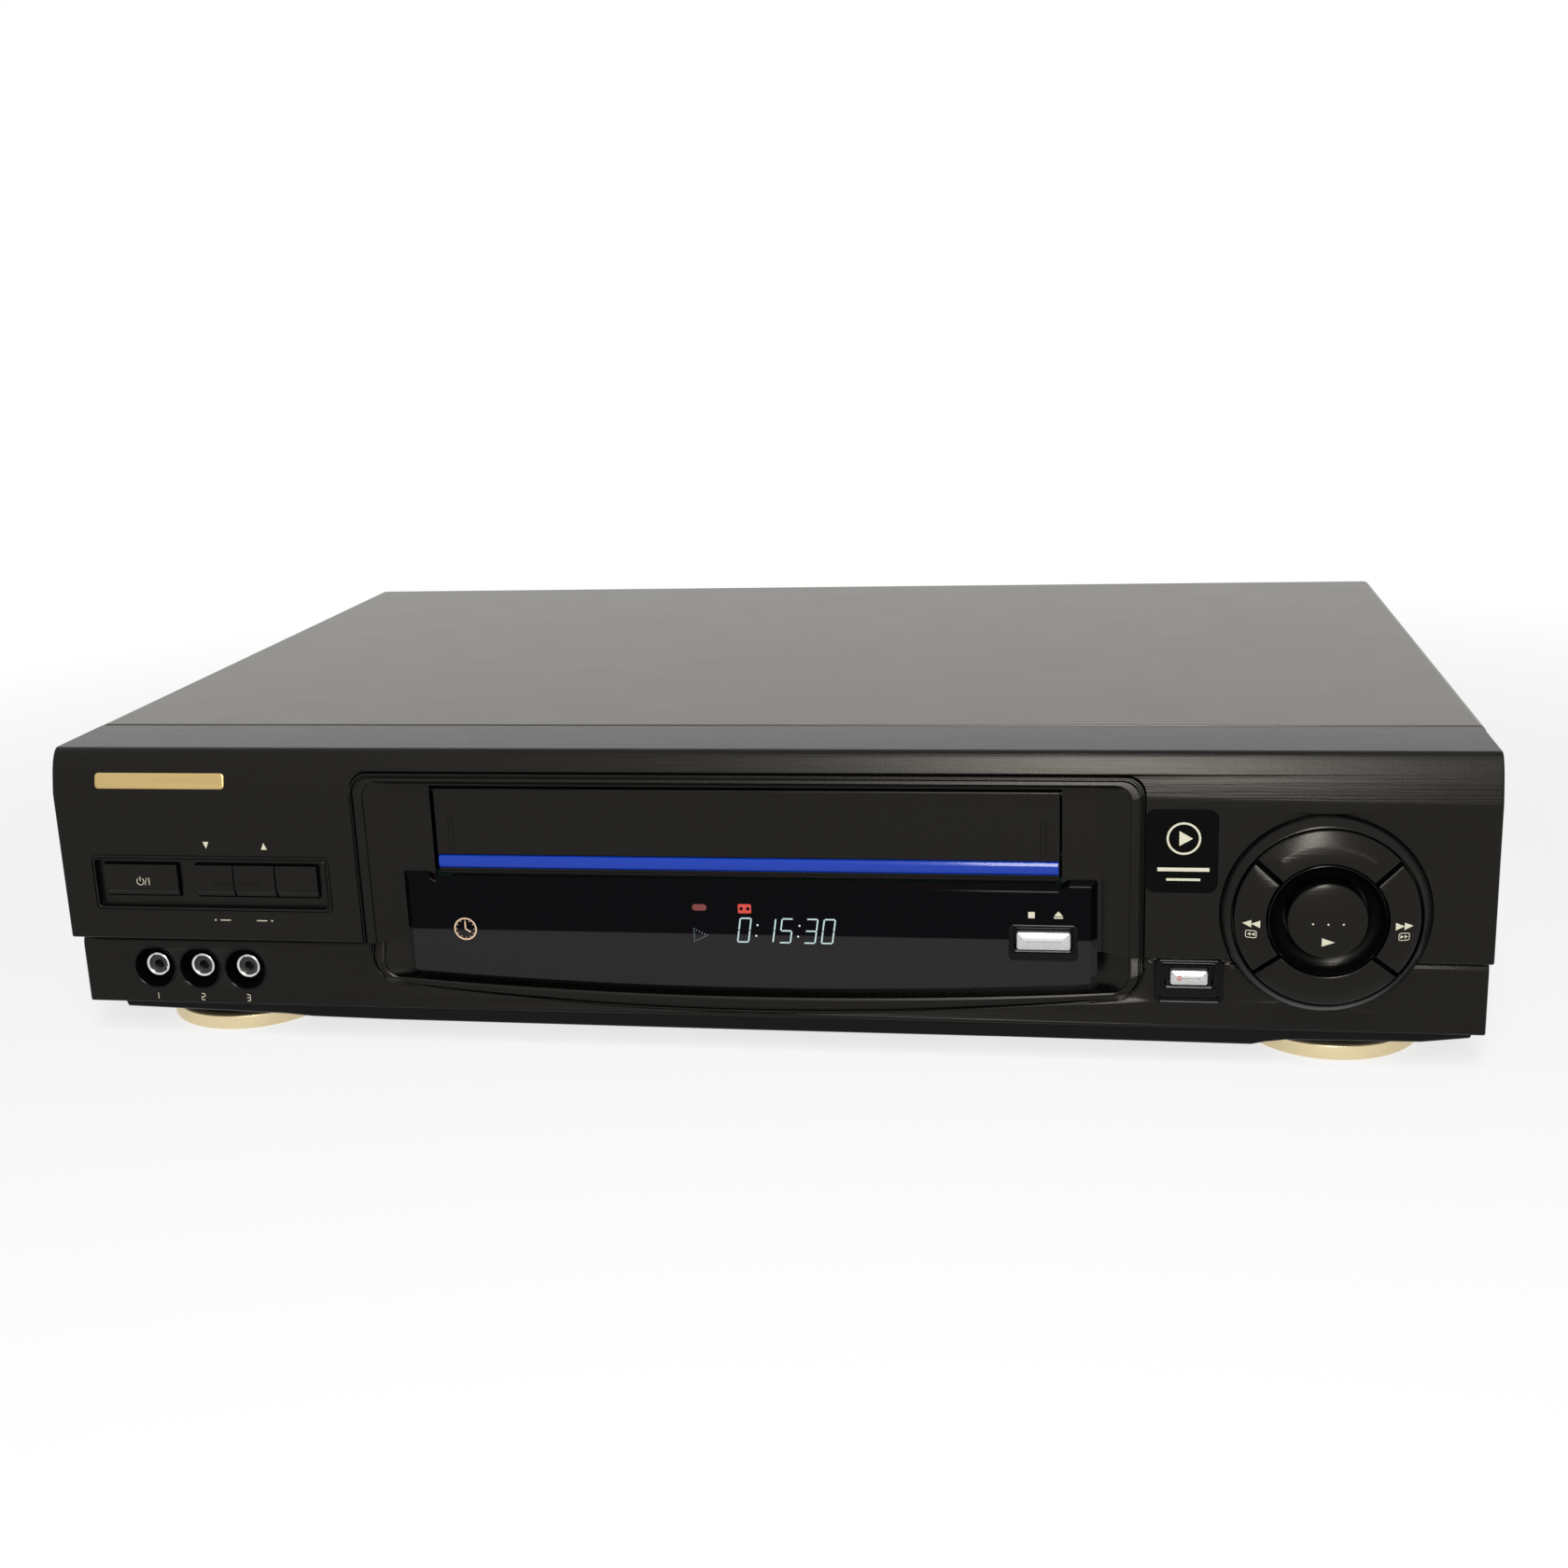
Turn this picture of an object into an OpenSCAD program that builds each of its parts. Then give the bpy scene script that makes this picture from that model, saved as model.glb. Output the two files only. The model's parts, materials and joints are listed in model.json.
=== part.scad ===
// Front-loading video cassette recorder.
// Frame: X to the viewer's right, Y to the back, Z up, feet on Z = 0.
// Depths are counted from the upper front face, which stands at Y = face_y.

/* [Case] */
// Width of the moulded front
front_w = 431; // [400:1:460]
// How far the steel cover stands out past the front on each side
cover_out = 1.25; // [0.5:0.05:2]
// Height of the top of the case above the floor
case_top = 98; // [94:1:115]
// Depth of the back of the cover behind the front face
case_depth = 295; // [285:1:340]
// Depth of the flat ledge's rear edge, where the cover starts
seam_d = 35.7; // [34:0.5:45]
// Thickness of the cover's steel sheet
sheet = 1; // [0.6:0.1:1.4]
// Wall of the moulded front
wall = 2.5; // [2:0.1:3]
// Radius of the cover's top bends
cover_bend = 2.5; // [1.5:0.5:4]
// Thickness of the rear panel
rear_t = 2.2; // [1.5:0.1:3]

/* [Front face] */
// Height where the face starts to lean back
lean_z = 84.3; // [82:0.5:88]
// Depth of the crease between the face and the top ledge
crease_d = 5.8; // [3:0.2:8]
// Height of the step above the lower strip
step_z = 37.2; // [35:0.5:40]
// Depth of the lower strip behind the face
strip_d = 6; // [4:0.5:7]
// Height of the bottom edge of the front
front_bottom = 13.4; // [12.5:0.1:15]

/* [Underside] */
// Height of the underside of the tray's belly
belly_z = 10; // [9:0.5:11]
// Width of the belly
belly_w = 408; // [390:1:410]
// Wall of the tray
tray_t = 2; // [1.5:0.1:2.5]
// Radius of a front foot
foot_r = 26.7; // [20:0.1:30]
// Height of a front foot's metallic ring
foot_band = 5; // [4:0.5:6]
// Distance of the feet from the middle
foot_x = 176.2; // [150:1:180]
// Depth of the front feet
foot_d = 43.4; // [40:1:60]
// Radius of a rear foot
rear_foot_r = 12; // [8:0.5:16]

/* [Cassette bay] */
// Half width over the bay's bead
bay_hw = 118.4; // [117:0.2:120]
// Width of the bead round the bay
bead_w = 4.1; // [3:0.1:5]
// How far the bead stands out of the face
bead_proud = 1; // [0.4:0.1:2]
// Height of the bay's top edge
bay_top = 91; // [90:0.2:92]
// Height of the bay's bottom edge in the middle
bay_low = 15.2; // [15:0.1:17]
// Rise of the bay's curved bottom edge towards its corners
bay_rise = 6.6; // [4:0.1:8]
// Corner radius of the bay's outline
bay_corner = 5; // [3:0.5:8]
// Half width of the flat behind the cheeks
flat_hw = 106.4; // [104:0.2:108]
// Depth of that flat behind the face
flat_d = 5; // [4.5:0.1:5.5]

/* [Cassette door] */
// Width of the door, a cassette's width with play
door_w = 188.8; // [188:0.2:190]
// Height of the door's bottom edge
door_low = 57.9; // [57.5:0.1:58.5]
// Height of the door's top edge
door_top = 85.6; // [85:0.1:86]
// Depth of the door's face
door_d = 6.3; // [6:0.1:7]
// Thickness of the door
door_t = 2.2; // [2:0.1:2.4]
// Gap round the door
door_gap = 0.6; // [0.4:0.1:0.8]
// Radius of the door's pivot pins
pivot_r = 0.9; // [0.7:0.1:1]
// Height of the coloured stripe
stripe_h = 4.1; // [3:0.1:5]
// Thickness of the stripe
stripe_t = 0.8; // [0.5:0.1:1]

/* [Display window] */
// Half width of the window
window_hw = 105.2; // [103:0.2:106]
// Thickness of the window
window_t = 2; // [1.5:0.1:2.5]
// Height of the window's top edge beside the door
window_top = 59.3; // [59:0.1:60]
// Height of the window's bottom edge in the middle
window_low = 24.2; // [24:0.1:26]
// Rise of the window's bottom edge towards its corners
window_rise = 3.4; // [2:0.1:4]

/* [Buttons] */
// Travel of every button
press = 0.8; // [0.4:0.1:0.9]
// Width of the power button
power_w = 24.6; // [20:0.2:25]
// Height of the buttons in the left tray
key_h = 10.4; // [8:0.2:11]
// Width of each small button in the left tray
key_w = 13.1; // [10:0.1:13.2]
// Width of the stop button
stop_w = 15.7; // [12:0.1:16]
// Height of the stop button
stop_h = 6.2; // [5:0.1:7]
// Width of the record button
rec_w = 11; // [9:0.1:12]
// Height of the record button
rec_h = 5.4; // [4:0.1:6]
// Radius of the jog cluster
jog_r = 29.2; // [28:0.1:29.5]
// Radius over the cluster's segments
segment_r = 26; // [25:0.1:26.5]
// Inner radius of the segments
bowl_r = 16.5; // [15:0.1:17]
// Radius of the play button
play_r = 11.2; // [9:0.1:12]
// How far the rim of the cluster's bowl stands out of the face
dome = 6.4; // [4:0.1:7]
// Angle of the cluster's grooves above the horizontal
groove_a = 40; // [35:1:45]

/* [Sockets] */
// Radius of a phono socket's shell
phono_r = 4.15; // [4:0.05:4.3]
// Free length of a phono socket's shell
phono_len = 8; // [7:0.5:9]
// Pitch of the sockets
phono_pitch = 15.3; // [14:0.1:16]
// Radius of the wells round the front sockets
well_r = 6.7; // [6:0.1:7]
// Radius of an aerial socket's thread
aerial_r = 4.76; // [4.7:0.01:4.8]
// Free length of an aerial socket
aerial_len = 9.3; // [8:0.1:11]
// Radius of the cord gland's bore
gland_r = 3.6; // [3:0.1:4]

/* [Tape deck] */
// Height of the deck plate's underside
deck_z = 24; // [23.5:0.1:24.5]
// Thickness of the deck plate
deck_t = 1.5; // [1.2:0.1:1.8]
// Half width of the deck plate
deck_hw = 109; // [106:0.5:112]
// Half distance between the reels of a cassette
reel_x = 46.25; // [46:0.05:46.5]
// Depth of the reels
reel_d = 112; // [108:1:114]
// Radius of a reel table
reel_r = 20; // [16:0.5:21]
// Radius of the head drum
drum_r = 31; // [29:0.5:31]
// Sideways place of the drum
drum_x = 3; // [0:0.5:4]
// Depth of the drum
drum_d = 215; // [213:1:217]
// Lean of the drum
drum_lean = 5; // [0:0.5:6]
// Way the cassette travels back
load_in = 84; // [70:1:84]
// Way the cassette travels down
load_down = 27; // [20:0.5:27]
// Height of a cassette with play
slot_h = 25.6; // [25.2:0.1:26]

/* [Fits] */
// Gap between pieces that are fixed together
seat = 0.2; // [0.1:0.05:0.3]
// Radial clearance of a running fit
running = 0.05; // [0.02:0.01:0.08]
// Gap round each button
key_gap = 0.3; // [0.2:0.05:0.4]

/* [Hidden] */
$fn = 48;
eps = 0.01;
// Overshoot of a cut past the faces that it opens
over = 1;
big = 600;

// Depth of the foremost and the rearmost point, and the place of the face
play_crown = 1.3;
front_tip = -(dome + play_crown);
panel_back = case_depth - sheet - 0.3;
rear_tip = panel_back + aerial_len;
face_y = -(front_tip + rear_tip) / 2;

// Front panel
ledge_z = case_top - wall;
front_hw = front_w / 2;
side_mid = (bay_hw + front_hw) / 2;
mid_lean_d = 0.3 * crease_d;
mid_lean_z = lean_z + 0.56 * (case_top - lean_z);
front_outline = [
    [strip_d, front_bottom], [strip_d, step_z], [0, step_z], [0, lean_z],
    [mid_lean_d, mid_lean_z], [crease_d, case_top], [seam_d, case_top],
];
front_inline = [
    [seam_d, ledge_z], [crease_d + 0.7 * wall, ledge_z], [mid_lean_d + wall, mid_lean_z],
    [wall, lean_z], [wall, step_z + wall], [strip_d + wall, step_z + wall],
    [strip_d + wall, front_bottom],
];

// Cover and rear panel
cover_hw = front_hw + cover_out;
cover_w = 2 * cover_hw;
bend_h = 15;
cover_start = seam_d + 0.4;
cover_low = front_bottom + 0.1;
flange_h = 8;
flange_screw_z = case_top - 4.5;
flange_screw_x = cover_hw - 66.75;
flange_screws = [-flange_screw_x, 0, flange_screw_x];
side_screw_ds = [seam_d + 34.3, case_depth - 45];
side_screw_z = 34;
screw_r = 1.5;
thread_r = screw_r - 0.1;
screw_head_r = 3.5;
screw_head_t = 1.8;
screw_len = 7;

// Tray, with its sunk belly, its rim and its side walls
rim_z = cover_low;
rim_gap = 0.4;
rim_top = rim_z + tray_t;
belly_top = belly_z + tray_t;
belly_front = strip_d + 6;
belly_back = panel_back - 9;
tray_hw = cover_hw - sheet - 0.35;
tray_wall_h = 24;
board_post_r = 3.5;
rear_low = rim_top + seat;
rear_top = case_top - sheet - 0.3;
rear_inside = panel_back - rear_t;

// Feet
foot_floor = 1.2;
foot_wall = 3;
foot_edge = 0.5;
hub_r = foot_r - foot_wall - 0.6;
rear_foot_d = case_depth - 32;

// Boards
board_z = 18;
board_t = 1.6;
board_hw = tray_hw - 9.4;
board_front = 34;
board_back = rear_inside - 7.5;
outer_post_x = board_hw - 10;
inner_post_x = 118;
board_post_ds = [board_front + 26, board_back - 16];
board_posts = [
    for (x = [-outer_post_x, -inner_post_x, inner_post_x, outer_post_x], d = board_post_ds) [x, d],
];
front_board_d = 22;
front_board_hw = front_hw - 7.5;
front_board_mid = bay_hw - 6.4;
front_board_low = 20;
// Tops of the front board's left, middle and right parts
front_board_tops = [70, 54, 80];
board_feet = [-100, -60, 60, 100, 190];
foot_hw = 3;
tube_low = [-30, 12, 36];
tube_high = [46, front_board_d - seat, 52];
switch_hw = 3;
switch_t = 3.5;
plunger_r = 1.7;
plunger_t = 1.5;
stem_end = front_board_d - switch_t - plunger_t - press - 0.1;
stem_r = 2;

// Power supply, standing on the main board
supply_z = board_z + board_t;
supply_x = -tray_hw + 20.4;
core_low = [supply_x + 5, 200];
core_high = core_low + [48, 40];
core_h = 36;
winding_in = 8;
winding_out = 6;
sink_low = [supply_x, 160];
sink_fins = 10;
sink_pitch = 6;
sink_t = 3;
fin_t = 1.5;
fin_len = 13;
sink_top = 62;
// Capacitors: sideways place, depth, radius and height
big_cans = [[supply_x + 15, 130, 11, 30], [supply_x + 45, 130, 8, 22]];
small_can_x = board_hw - 56;
small_cans = [for (i = [0:2], k = [0:1]) [small_can_x + 8 * i, 120 + 16 * k, 3.2, 12]];

// Bay, door and window
door_hw = door_w / 2;
gate_hw = door_hw + door_gap;
gate_low = door_low - door_gap;
gate_top = door_top + 0.8;
plate_t = 2;
bay_lap = 1.2;
bay_back = strip_d + 4.5;
pocket_z = window_low + 6;
pivot_z = door_top - 1;
pivot_d = door_d + door_t / 2;
ear_x = gate_hw + 0.6;
ear_t = 2.6;
ear_h = 3;
guide_t = 1.5;
pivot_end = ear_x + ear_t + 4.6;
spring_r = pivot_r + 0.5;
spring_wire = 0.2;
spring_turns = 4;
spring_pitch = 0.95;
window_d = flat_d - window_t;
notch_z = gate_low;
aperture = [-32, 35, 48, 53];

// Buttons: middle, width and height
key_pitch = key_w + 0.3;
tray_edge = 3.9;
power_gap = 5.05;
tray_w = 2 * tray_edge + power_w + power_gap + 2 * key_pitch + key_w;
tray_left = -side_mid + 1 - tray_w / 2;
tray_right = tray_left + tray_w;
tray_low = 47.1;
tray_high = 64.8;
tray_ring = 1.5;
tray_corner = 2.5;
key_z = (tray_low + tray_high) / 2 + 0.4;
power_x = tray_left + tray_edge + power_w / 2;
key_x0 = power_x + (power_w + key_w) / 2 + power_gap;
key_face_d = 0.3;
pocket_d = 2;
pocket_back = 4.5;
stop_x = window_hw - 15;
stop_z = 40.1;
rec_z = 28.3;
frame_rim = 2;
frame_corner = 1.4;
key_corner = 0.6;
flange_t = 1;
flange_gap = 0.4;
jog_x = side_mid + 1.95;
jog_z = 51.7;
rec_off = 11.55;
rec_x = (bay_hw + jog_x) / 2 - rec_off;
jog_floor_d = 3;
jog_floor_t = 2;
segment_mid_r = (segment_r + bowl_r) / 2;
dome_foot = 0.62 * dome;
jog_back = strip_d + wall + 1.5;

// Sockets
phono_x0 = -front_hw + 23.7;
phono_z = 25.4;
phono_face = strip_d + 2;
phono_bore = phono_r - 0.55;
jack_d = strip_d + wall + 0.5;
jack_back = phono_face + phono_len + 5;
jack_side = 9;
pin_hole_r = 1.6;
rear_phono_x0 = tray_hw - 149.4;
rear_phono_xs = [rear_phono_x0, rear_phono_x0 + phono_pitch + 6];
rear_block_t = 16;
plug_gap = 1;
rear_phono_zs = [34, 34 + phono_pitch, 34 + 2 * phono_pitch];
rear_jack_face = panel_back - rear_t - seat;
aerial_x = tray_hw - 60;
aerial_zs = [38, 62];
gland_x = -tray_hw + 27.4;
gland_z = 34;
gland_body_r = gland_r + 2.4;
gland_flange_r = gland_r + 4.4;
gland_lip = 3;
tuner_hw = 22;
tuner_len = 62;

// Deck
deck_top = deck_z + deck_t;
deck_front = 42;
deck_back = rear_inside - 19.5;
post_in = 10;
post_x = deck_hw - post_in + 1;
post_ds = [deck_front + post_in, deck_back - post_in];
deck_posts_at = [for (x = [-post_x, post_x], d = post_ds) [x, d]];
post_r = 4;
table_z = deck_top + 2.1;
table_t = 2.6;
spindle_h = 13.8;
spindle_top = table_z + table_t + spindle_h;
reel_post_r = 2;
idler_len = 30;
idler_r = 14;
idler_pivot_d = reel_d + idler_len;
idler_post_r = 2;
drum_base_z = deck_top + 2.5;
lower_drum_h = 16;
upper_drum_h = 15;
drum_shaft_r = 2.5;
drum_seat_r = drum_r - 4;
drum_gap = 0.3;
capstan_x = 66;
capstan_d = 182;
capstan_r = 1.5;
capstan_top = 60;
flywheel_r = 22;
// Fixed heads: the two corners of each, in X and depth, and their height
head_spots = [[50, 187, 58, 194], [-62, 189, -53, 197]];
head_h = 24;
pinch_pivot = [92, 196];
pinch_len = 22.05;
pinch_rest_a = 170.2;
pinch_r = 6.5;
pinch_post_r = 2;
arm_z = deck_top + 2.6;
arm_t = 2.4;
tension_pivot = [-72, 190];
tension_len = 19.8;
tension_rest_a = -45;
cam_at = [-82, 232];
gear_m = 1;
cam_teeth = 40;
pinion_teeth = 12;
mesh_gap = 0.25;
gear_z = deck_top + 2.6;
gear_t = 5;
motor_r = 12;
motor_h = 25;
motor_shaft_r = 1;
motor_leg_x = 16;
motor_leg_d = 3;
pinion_at = [cam_at[0], cam_at[1] - gear_m * (cam_teeth + pinion_teeth) / 2 - mesh_gap];
guide_start = [33, 168];
guide_way = [16, 64];
keel_w = 3.8;

// Cassette holder and its loader
holder_front = seam_d + 0.3;
holder_back = holder_front + 58;
slot_low = gate_low + 0.4;
holder_top = slot_low + slot_h + sheet;
holder_hw = door_hw + 0.2 + sheet;
ledge_in = 75;
slide_x = holder_hw + 0.6;
slide_t = 1.2;
bracket_x = slide_x + slide_t + 0.8;
bracket_t = 1.5;
slide_front = holder_front + 8;
slide_back = holder_back - 4;
slide_low = slot_low - load_down + 14;
pin_r = 1.5;
pin_ds = [holder_front + 16, holder_back - 14];
pin_z = holder_top - 3;
stud_z = slide_low + 3.5;
bracket_front = slide_front - 2;
bracket_back = pin_ds[1] + load_in + 9;

// Moves what is drawn by depth into the part's frame
module placed() {
    translate([0, face_y, 0]) children();
}

// A box between two corners, each [x, depth, z]
module box(a, b) {
    translate(a) cube(b - a);
}

// A drawing in X and Z, thickened from depth d0 to depth d1
module facing(d0, d1) {
    translate([0, d1, 0]) rotate([90, 0, 0]) linear_extrude(d1 - d0) children();
}

// A drawing in depth and Z, thickened from x0 to x1
module sideways(x0, x1) {
    translate([x0, 0, 0]) rotate([90, 0, 90]) linear_extrude(x1 - x0) children();
}

// A drawing in X and depth, thickened from z0 to z1
module flatwise(z0, z1) {
    translate([0, 0, z0]) linear_extrude(z1 - z0) children();
}

// Round rods along depth, upright, and sideways
module rod_d(x, z, r, d0, d1) {
    translate([x, d1, z]) rotate([90, 0, 0]) cylinder(r = r, h = d1 - d0);
}

module rod_z(at, r, z0, z1) {
    translate([at[0], at[1], z0]) cylinder(r = r, h = z1 - z0);
}

module rod_x(d, z, r, x0, x1) {
    translate([x0, d, z]) rotate([0, 90, 0]) cylinder(r = r, h = x1 - x0);
}

// A rectangle with true round corners, centred on [x, z]
module round_rect(x, z, w, h, r) {
    translate([x, z]) {
        square([w - 2 * r, h], center = true);
        square([w, h - 2 * r], center = true);
        for (sx = [-1, 1], sz = [-1, 1]) {
            translate([sx * (w / 2 - r), sz * (h / 2 - r)]) circle(r);
        }
    }
}

// A bar with two round ends, for arms and slots
module link(a, b, r) {
    translate(a) circle(r);
    translate(b) circle(r);
    translate(a) rotate(atan2(b[1] - a[1], b[0] - a[0])) translate([0, -r])
        square([norm(b - a), 2 * r]);
}

// The left and right copy of a thing
module both_sides() {
    children();
    mirror([1, 0, 0]) children();
}

// The bay's outline: flat top, straight sides and a bottom edge that sags in an arc
module sagging_outline(hw, top, low, rise, corner) {
    flat = hw - corner;
    sag_r = (flat * flat + rise * rise) / (2 * rise);
    side_low = low + rise;
    round_rect(0, (top + side_low) / 2, 2 * hw, top - side_low, corner);
    intersection() {
        translate([0, low + sag_r]) circle(sag_r, $fn = 200);
        translate([-flat, low - 1]) square([2 * flat, rise + corner]);
    }
}

// The hole that a framed key's surround fills
module frame_hole(x, z, w, h) {
    out = 2 * (frame_rim + seat);
    round_rect(x, z, w + out, h + out, frame_corner);
}

// The outline of the left tray, moved inward
module tray_outline(inset) {
    round_rect(
        (tray_left + tray_right) / 2, (tray_low + tray_high) / 2,
        tray_right - tray_left - 2 * inset, tray_high - tray_low - 2 * inset,
        tray_corner - inset / 2
    );
}

module bay_outline(inset) {
    sagging_outline(
        bay_hw - inset, bay_top - inset, bay_low + inset, bay_rise, max(bay_corner - inset, 1.5)
    );
}

// ---- Case ----

// The cover's section, moved inward, with its legs ending at low
module cover_section(inset, low) {
    w = cover_w - 2 * inset;
    round_rect(0, case_top - inset - bend_h, w, 2 * bend_h, cover_bend - inset);
    translate([-w / 2, low]) square([w, case_top - bend_h - low]);
}

module top_cover() {
    color("#1c1c1d") placed() difference() {
        union() {
            facing(cover_start, case_depth) difference() {
                cover_section(0, cover_low);
                cover_section(sheet, 0);
            }
            box(
                [-cover_hw + sheet, case_depth - sheet, case_top - flange_h],
                [cover_hw - sheet, case_depth, case_top - sheet]
            );
        }
        for (x = flange_screws) {
            rod_d(x, flange_screw_z, screw_r + seat, case_depth - 3, case_depth + over);
        }
        for (d = side_screw_ds) {
            rod_x(d, side_screw_z, screw_r + seat, -cover_hw - over, cover_hw + over);
        }
    }
}

module front_shell() {
    sideways(-front_hw, front_hw) polygon(concat(front_outline, front_inline));
    both_sides() sideways(front_hw - wall, front_hw)
        polygon(concat(front_outline, [[seam_d, front_bottom]]));
    facing(pocket_d, pocket_back) tray_outline(0);
}

module front_panel() {
    color("#1a1a1b") placed() difference() {
        front_shell();
        facing(-5, seam_d - 5) bay_outline(bay_lap);
        facing(-5, pocket_d) tray_outline(tray_ring);
        key_holes(pocket_d - over, pocket_back + over, key_gap);
        rod_d(jog_x, jog_z, jog_r + seat, -5, jog_back - 1.2);
        for (i = [0:2]) {
            rod_d(phono_x0 + i * phono_pitch, phono_z, well_r, strip_d - over, jack_d);
        }
        facing(strip_d - over, strip_d + wall + over) frame_hole(rec_x, rec_z, rec_w, rec_h);
    }
}

// Openings of the left tray's four buttons
module key_holes(d0, d1, gap) {
    facing(d0, d1) {
        round_rect(power_x, key_z, power_w + 2 * gap, key_h + 2 * gap, key_corner);
        for (i = [0:2]) {
            round_rect(
                key_x0 + i * key_pitch, key_z, key_w + 2 * gap, key_h + 2 * gap, key_corner
            );
        }
    }
}

module chassis_tray() {
    color("#141414") placed() difference() {
        union() {
            box([-belly_w / 2, belly_front, belly_z], [belly_w / 2, belly_back, rim_top]);
            box(
                [-front_hw + wall + rim_gap, strip_d + wall + seat, rim_z],
                [front_hw - wall - rim_gap, seam_d + 1, rim_top]
            );
            box([-tray_hw, seam_d + 0.5, rim_z], [tray_hw, panel_back, rim_top]);
            both_sides() box(
                [tray_hw - tray_t, seam_d + 4, rim_z],
                [tray_hw, panel_back - rear_t - seat, rim_top + tray_wall_h]
            );
        }
        box(
            [-belly_w / 2 + tray_t, belly_front + tray_t, belly_top],
            [belly_w / 2 - tray_t, belly_back - tray_t, rim_top + over]
        );
        for (d = side_screw_ds) {
            rod_x(d, side_screw_z, thread_r, -cover_hw, cover_hw);
        }
    }
    color("#141414") placed() for (at = board_posts) {
        rod_z(at, board_post_r, belly_top - eps, board_z);
    }
}

module rear_panel() {
    color("#1d1d1e") placed() difference() {
        facing(rear_inside, panel_back)
            round_rect(0, (rear_low + rear_top) / 2, 2 * tray_hw, rear_top - rear_low, cover_bend);
        for (x = rear_phono_xs, z = rear_phono_zs) {
            rod_d(x, z, phono_r + plug_gap, rear_inside - over, panel_back + over);
        }
        for (z = aerial_zs) {
            rod_d(aerial_x, z, aerial_r + plug_gap, rear_inside - over, panel_back + over);
        }
        rod_d(gland_x, gland_z, gland_body_r + seat, rear_inside - over, panel_back + over);
        for (x = flange_screws) {
            rod_d(x, flange_screw_z, thread_r, rear_inside - over, panel_back + over);
        }
    }
}

module foot_rings() {
    color("#cdb98a") placed() both_sides() translate([foot_x, foot_d, 0])
        rotate_extrude($fn = 96) polygon([
            [0, 0], [foot_r - foot_edge, 0], [foot_r, foot_edge], [foot_r, foot_band - foot_edge],
            [foot_r - foot_edge, foot_band], [foot_r - foot_wall, foot_band],
            [foot_r - foot_wall, foot_floor], [0, foot_floor],
        ]);
}

module foot_cups() {
    color("#101010") placed() both_sides() {
        rod_z([foot_x, foot_d], hub_r, foot_floor, belly_z);
        rod_z([foot_x, rear_foot_d], rear_foot_r, 0, belly_z);
    }
}

module cover_screws() {
    color("#2a2a2b") placed() {
        for (x = flange_screws) {
            rod_d(x, flange_screw_z, screw_head_r, case_depth, case_depth + screw_head_t);
            rod_d(x, flange_screw_z, thread_r, panel_back - screw_len, case_depth + eps);
        }
        for (d = side_screw_ds) both_sides() {
            rod_x(d, side_screw_z, screw_head_r, cover_hw, cover_hw + screw_head_t);
            rod_x(d, side_screw_z, thread_r, cover_hw - screw_len, cover_hw + eps);
        }
    }
}

// ---- Cassette bay ----

// A ring along the bay's outline, between two insets
module bay_ring(d0, d1, outer, inner) {
    facing(d0, d1) difference() {
        bay_outline(outer);
        bay_outline(inner);
    }
}

// All that lies behind the front face, moved forward by out
module behind_face(out) {
    sideways(-bay_hw - 1, bay_hw + 1) polygon(concat(
        [for (p = front_outline) [p[0] - out, p[1]]], [[seam_d, 0], [strip_d - out, 0]]
    ));
}

module bay_frame() {
    color("#1b1b1c") placed() difference() {
        union() {
            // Bead that lies on the face and steps back with it
            intersection() {
                bay_ring(-bead_proud - 1, case_top, 0, bead_w);
                difference() {
                    behind_face(bead_proud);
                    behind_face(0);
                }
            }
            // Collar through the panel's hole
            intersection() {
                bay_ring(-bead_proud - 1, bay_back, bay_lap + seat, bead_w);
                behind_face(bead_proud);
            }
            // Recessed plate, the deeper pocket under the window, and the cheeks
            facing(flat_d, flat_d + plate_t) intersection() {
                bay_outline(bay_lap + seat);
                translate([-bay_hw, pocket_z]) square([2 * bay_hw, big]);
            }
            facing(bay_back - 1.5, bay_back) intersection() {
                bay_outline(bay_lap + seat);
                translate([-bay_hw, 0]) square([2 * bay_hw, pocket_z + 2]);
            }
            box(
                [-bay_hw + bead_w - 1, flat_d, pocket_z],
                [bay_hw - bead_w + 1, bay_back, pocket_z + 2]
            );
            both_sides() translate([0, 0, step_z]) linear_extrude(bay_top - bead_w - step_z)
                polygon([[bay_hw - bead_w, 0], [bay_hw - bead_w, flat_d], [flat_hw, flat_d]]);
            // Ears that carry the door
            both_sides() box(
                [ear_x, flat_d + plate_t - eps, pivot_z - ear_h],
                [ear_x + ear_t, pivot_d + ear_h, pivot_z + ear_h]
            );
            // Guides that the cassette runs over behind the door
            both_sides() box(
                [ledge_in, flat_d + plate_t - eps, gate_low - guide_t],
                [gate_hw + guide_t, holder_front - 2, gate_low]
            );
            both_sides() box(
                [gate_hw, pivot_d + ear_h + 1, gate_low - guide_t],
                [gate_hw + guide_t, holder_front - 2, pivot_z - 8]
            );
        }
        // Gateway for the cassette
        facing(flat_d - over, flat_d + plate_t + over / 2) translate([-gate_hw, gate_low])
            square([2 * gate_hw, gate_top - gate_low]);
        both_sides() {
            rod_x(pivot_d, pivot_z, pivot_r + running, gate_hw - over, pivot_end + seat);
            rod_x(pivot_d, pivot_z, spring_r + 0.5, ear_x + ear_t, pivot_end + seat);
        }
        // Way through for the display and the stop button
        facing(flat_d - over, flat_d + plate_t + over) {
            translate([aperture[0], aperture[1]])
                square([aperture[2] - aperture[0], aperture[3] - aperture[1]]);
            frame_hole(stop_x, stop_z, stop_w, stop_h);
        }
    }
}

module cassette_door() {
    color("#1d1d1e") placed() {
        box([-door_hw, door_d, door_low], [door_hw, door_d + door_t, door_top]);
        both_sides() rod_x(pivot_d, pivot_z, pivot_r, door_hw - eps, pivot_end);
    }
}

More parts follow.
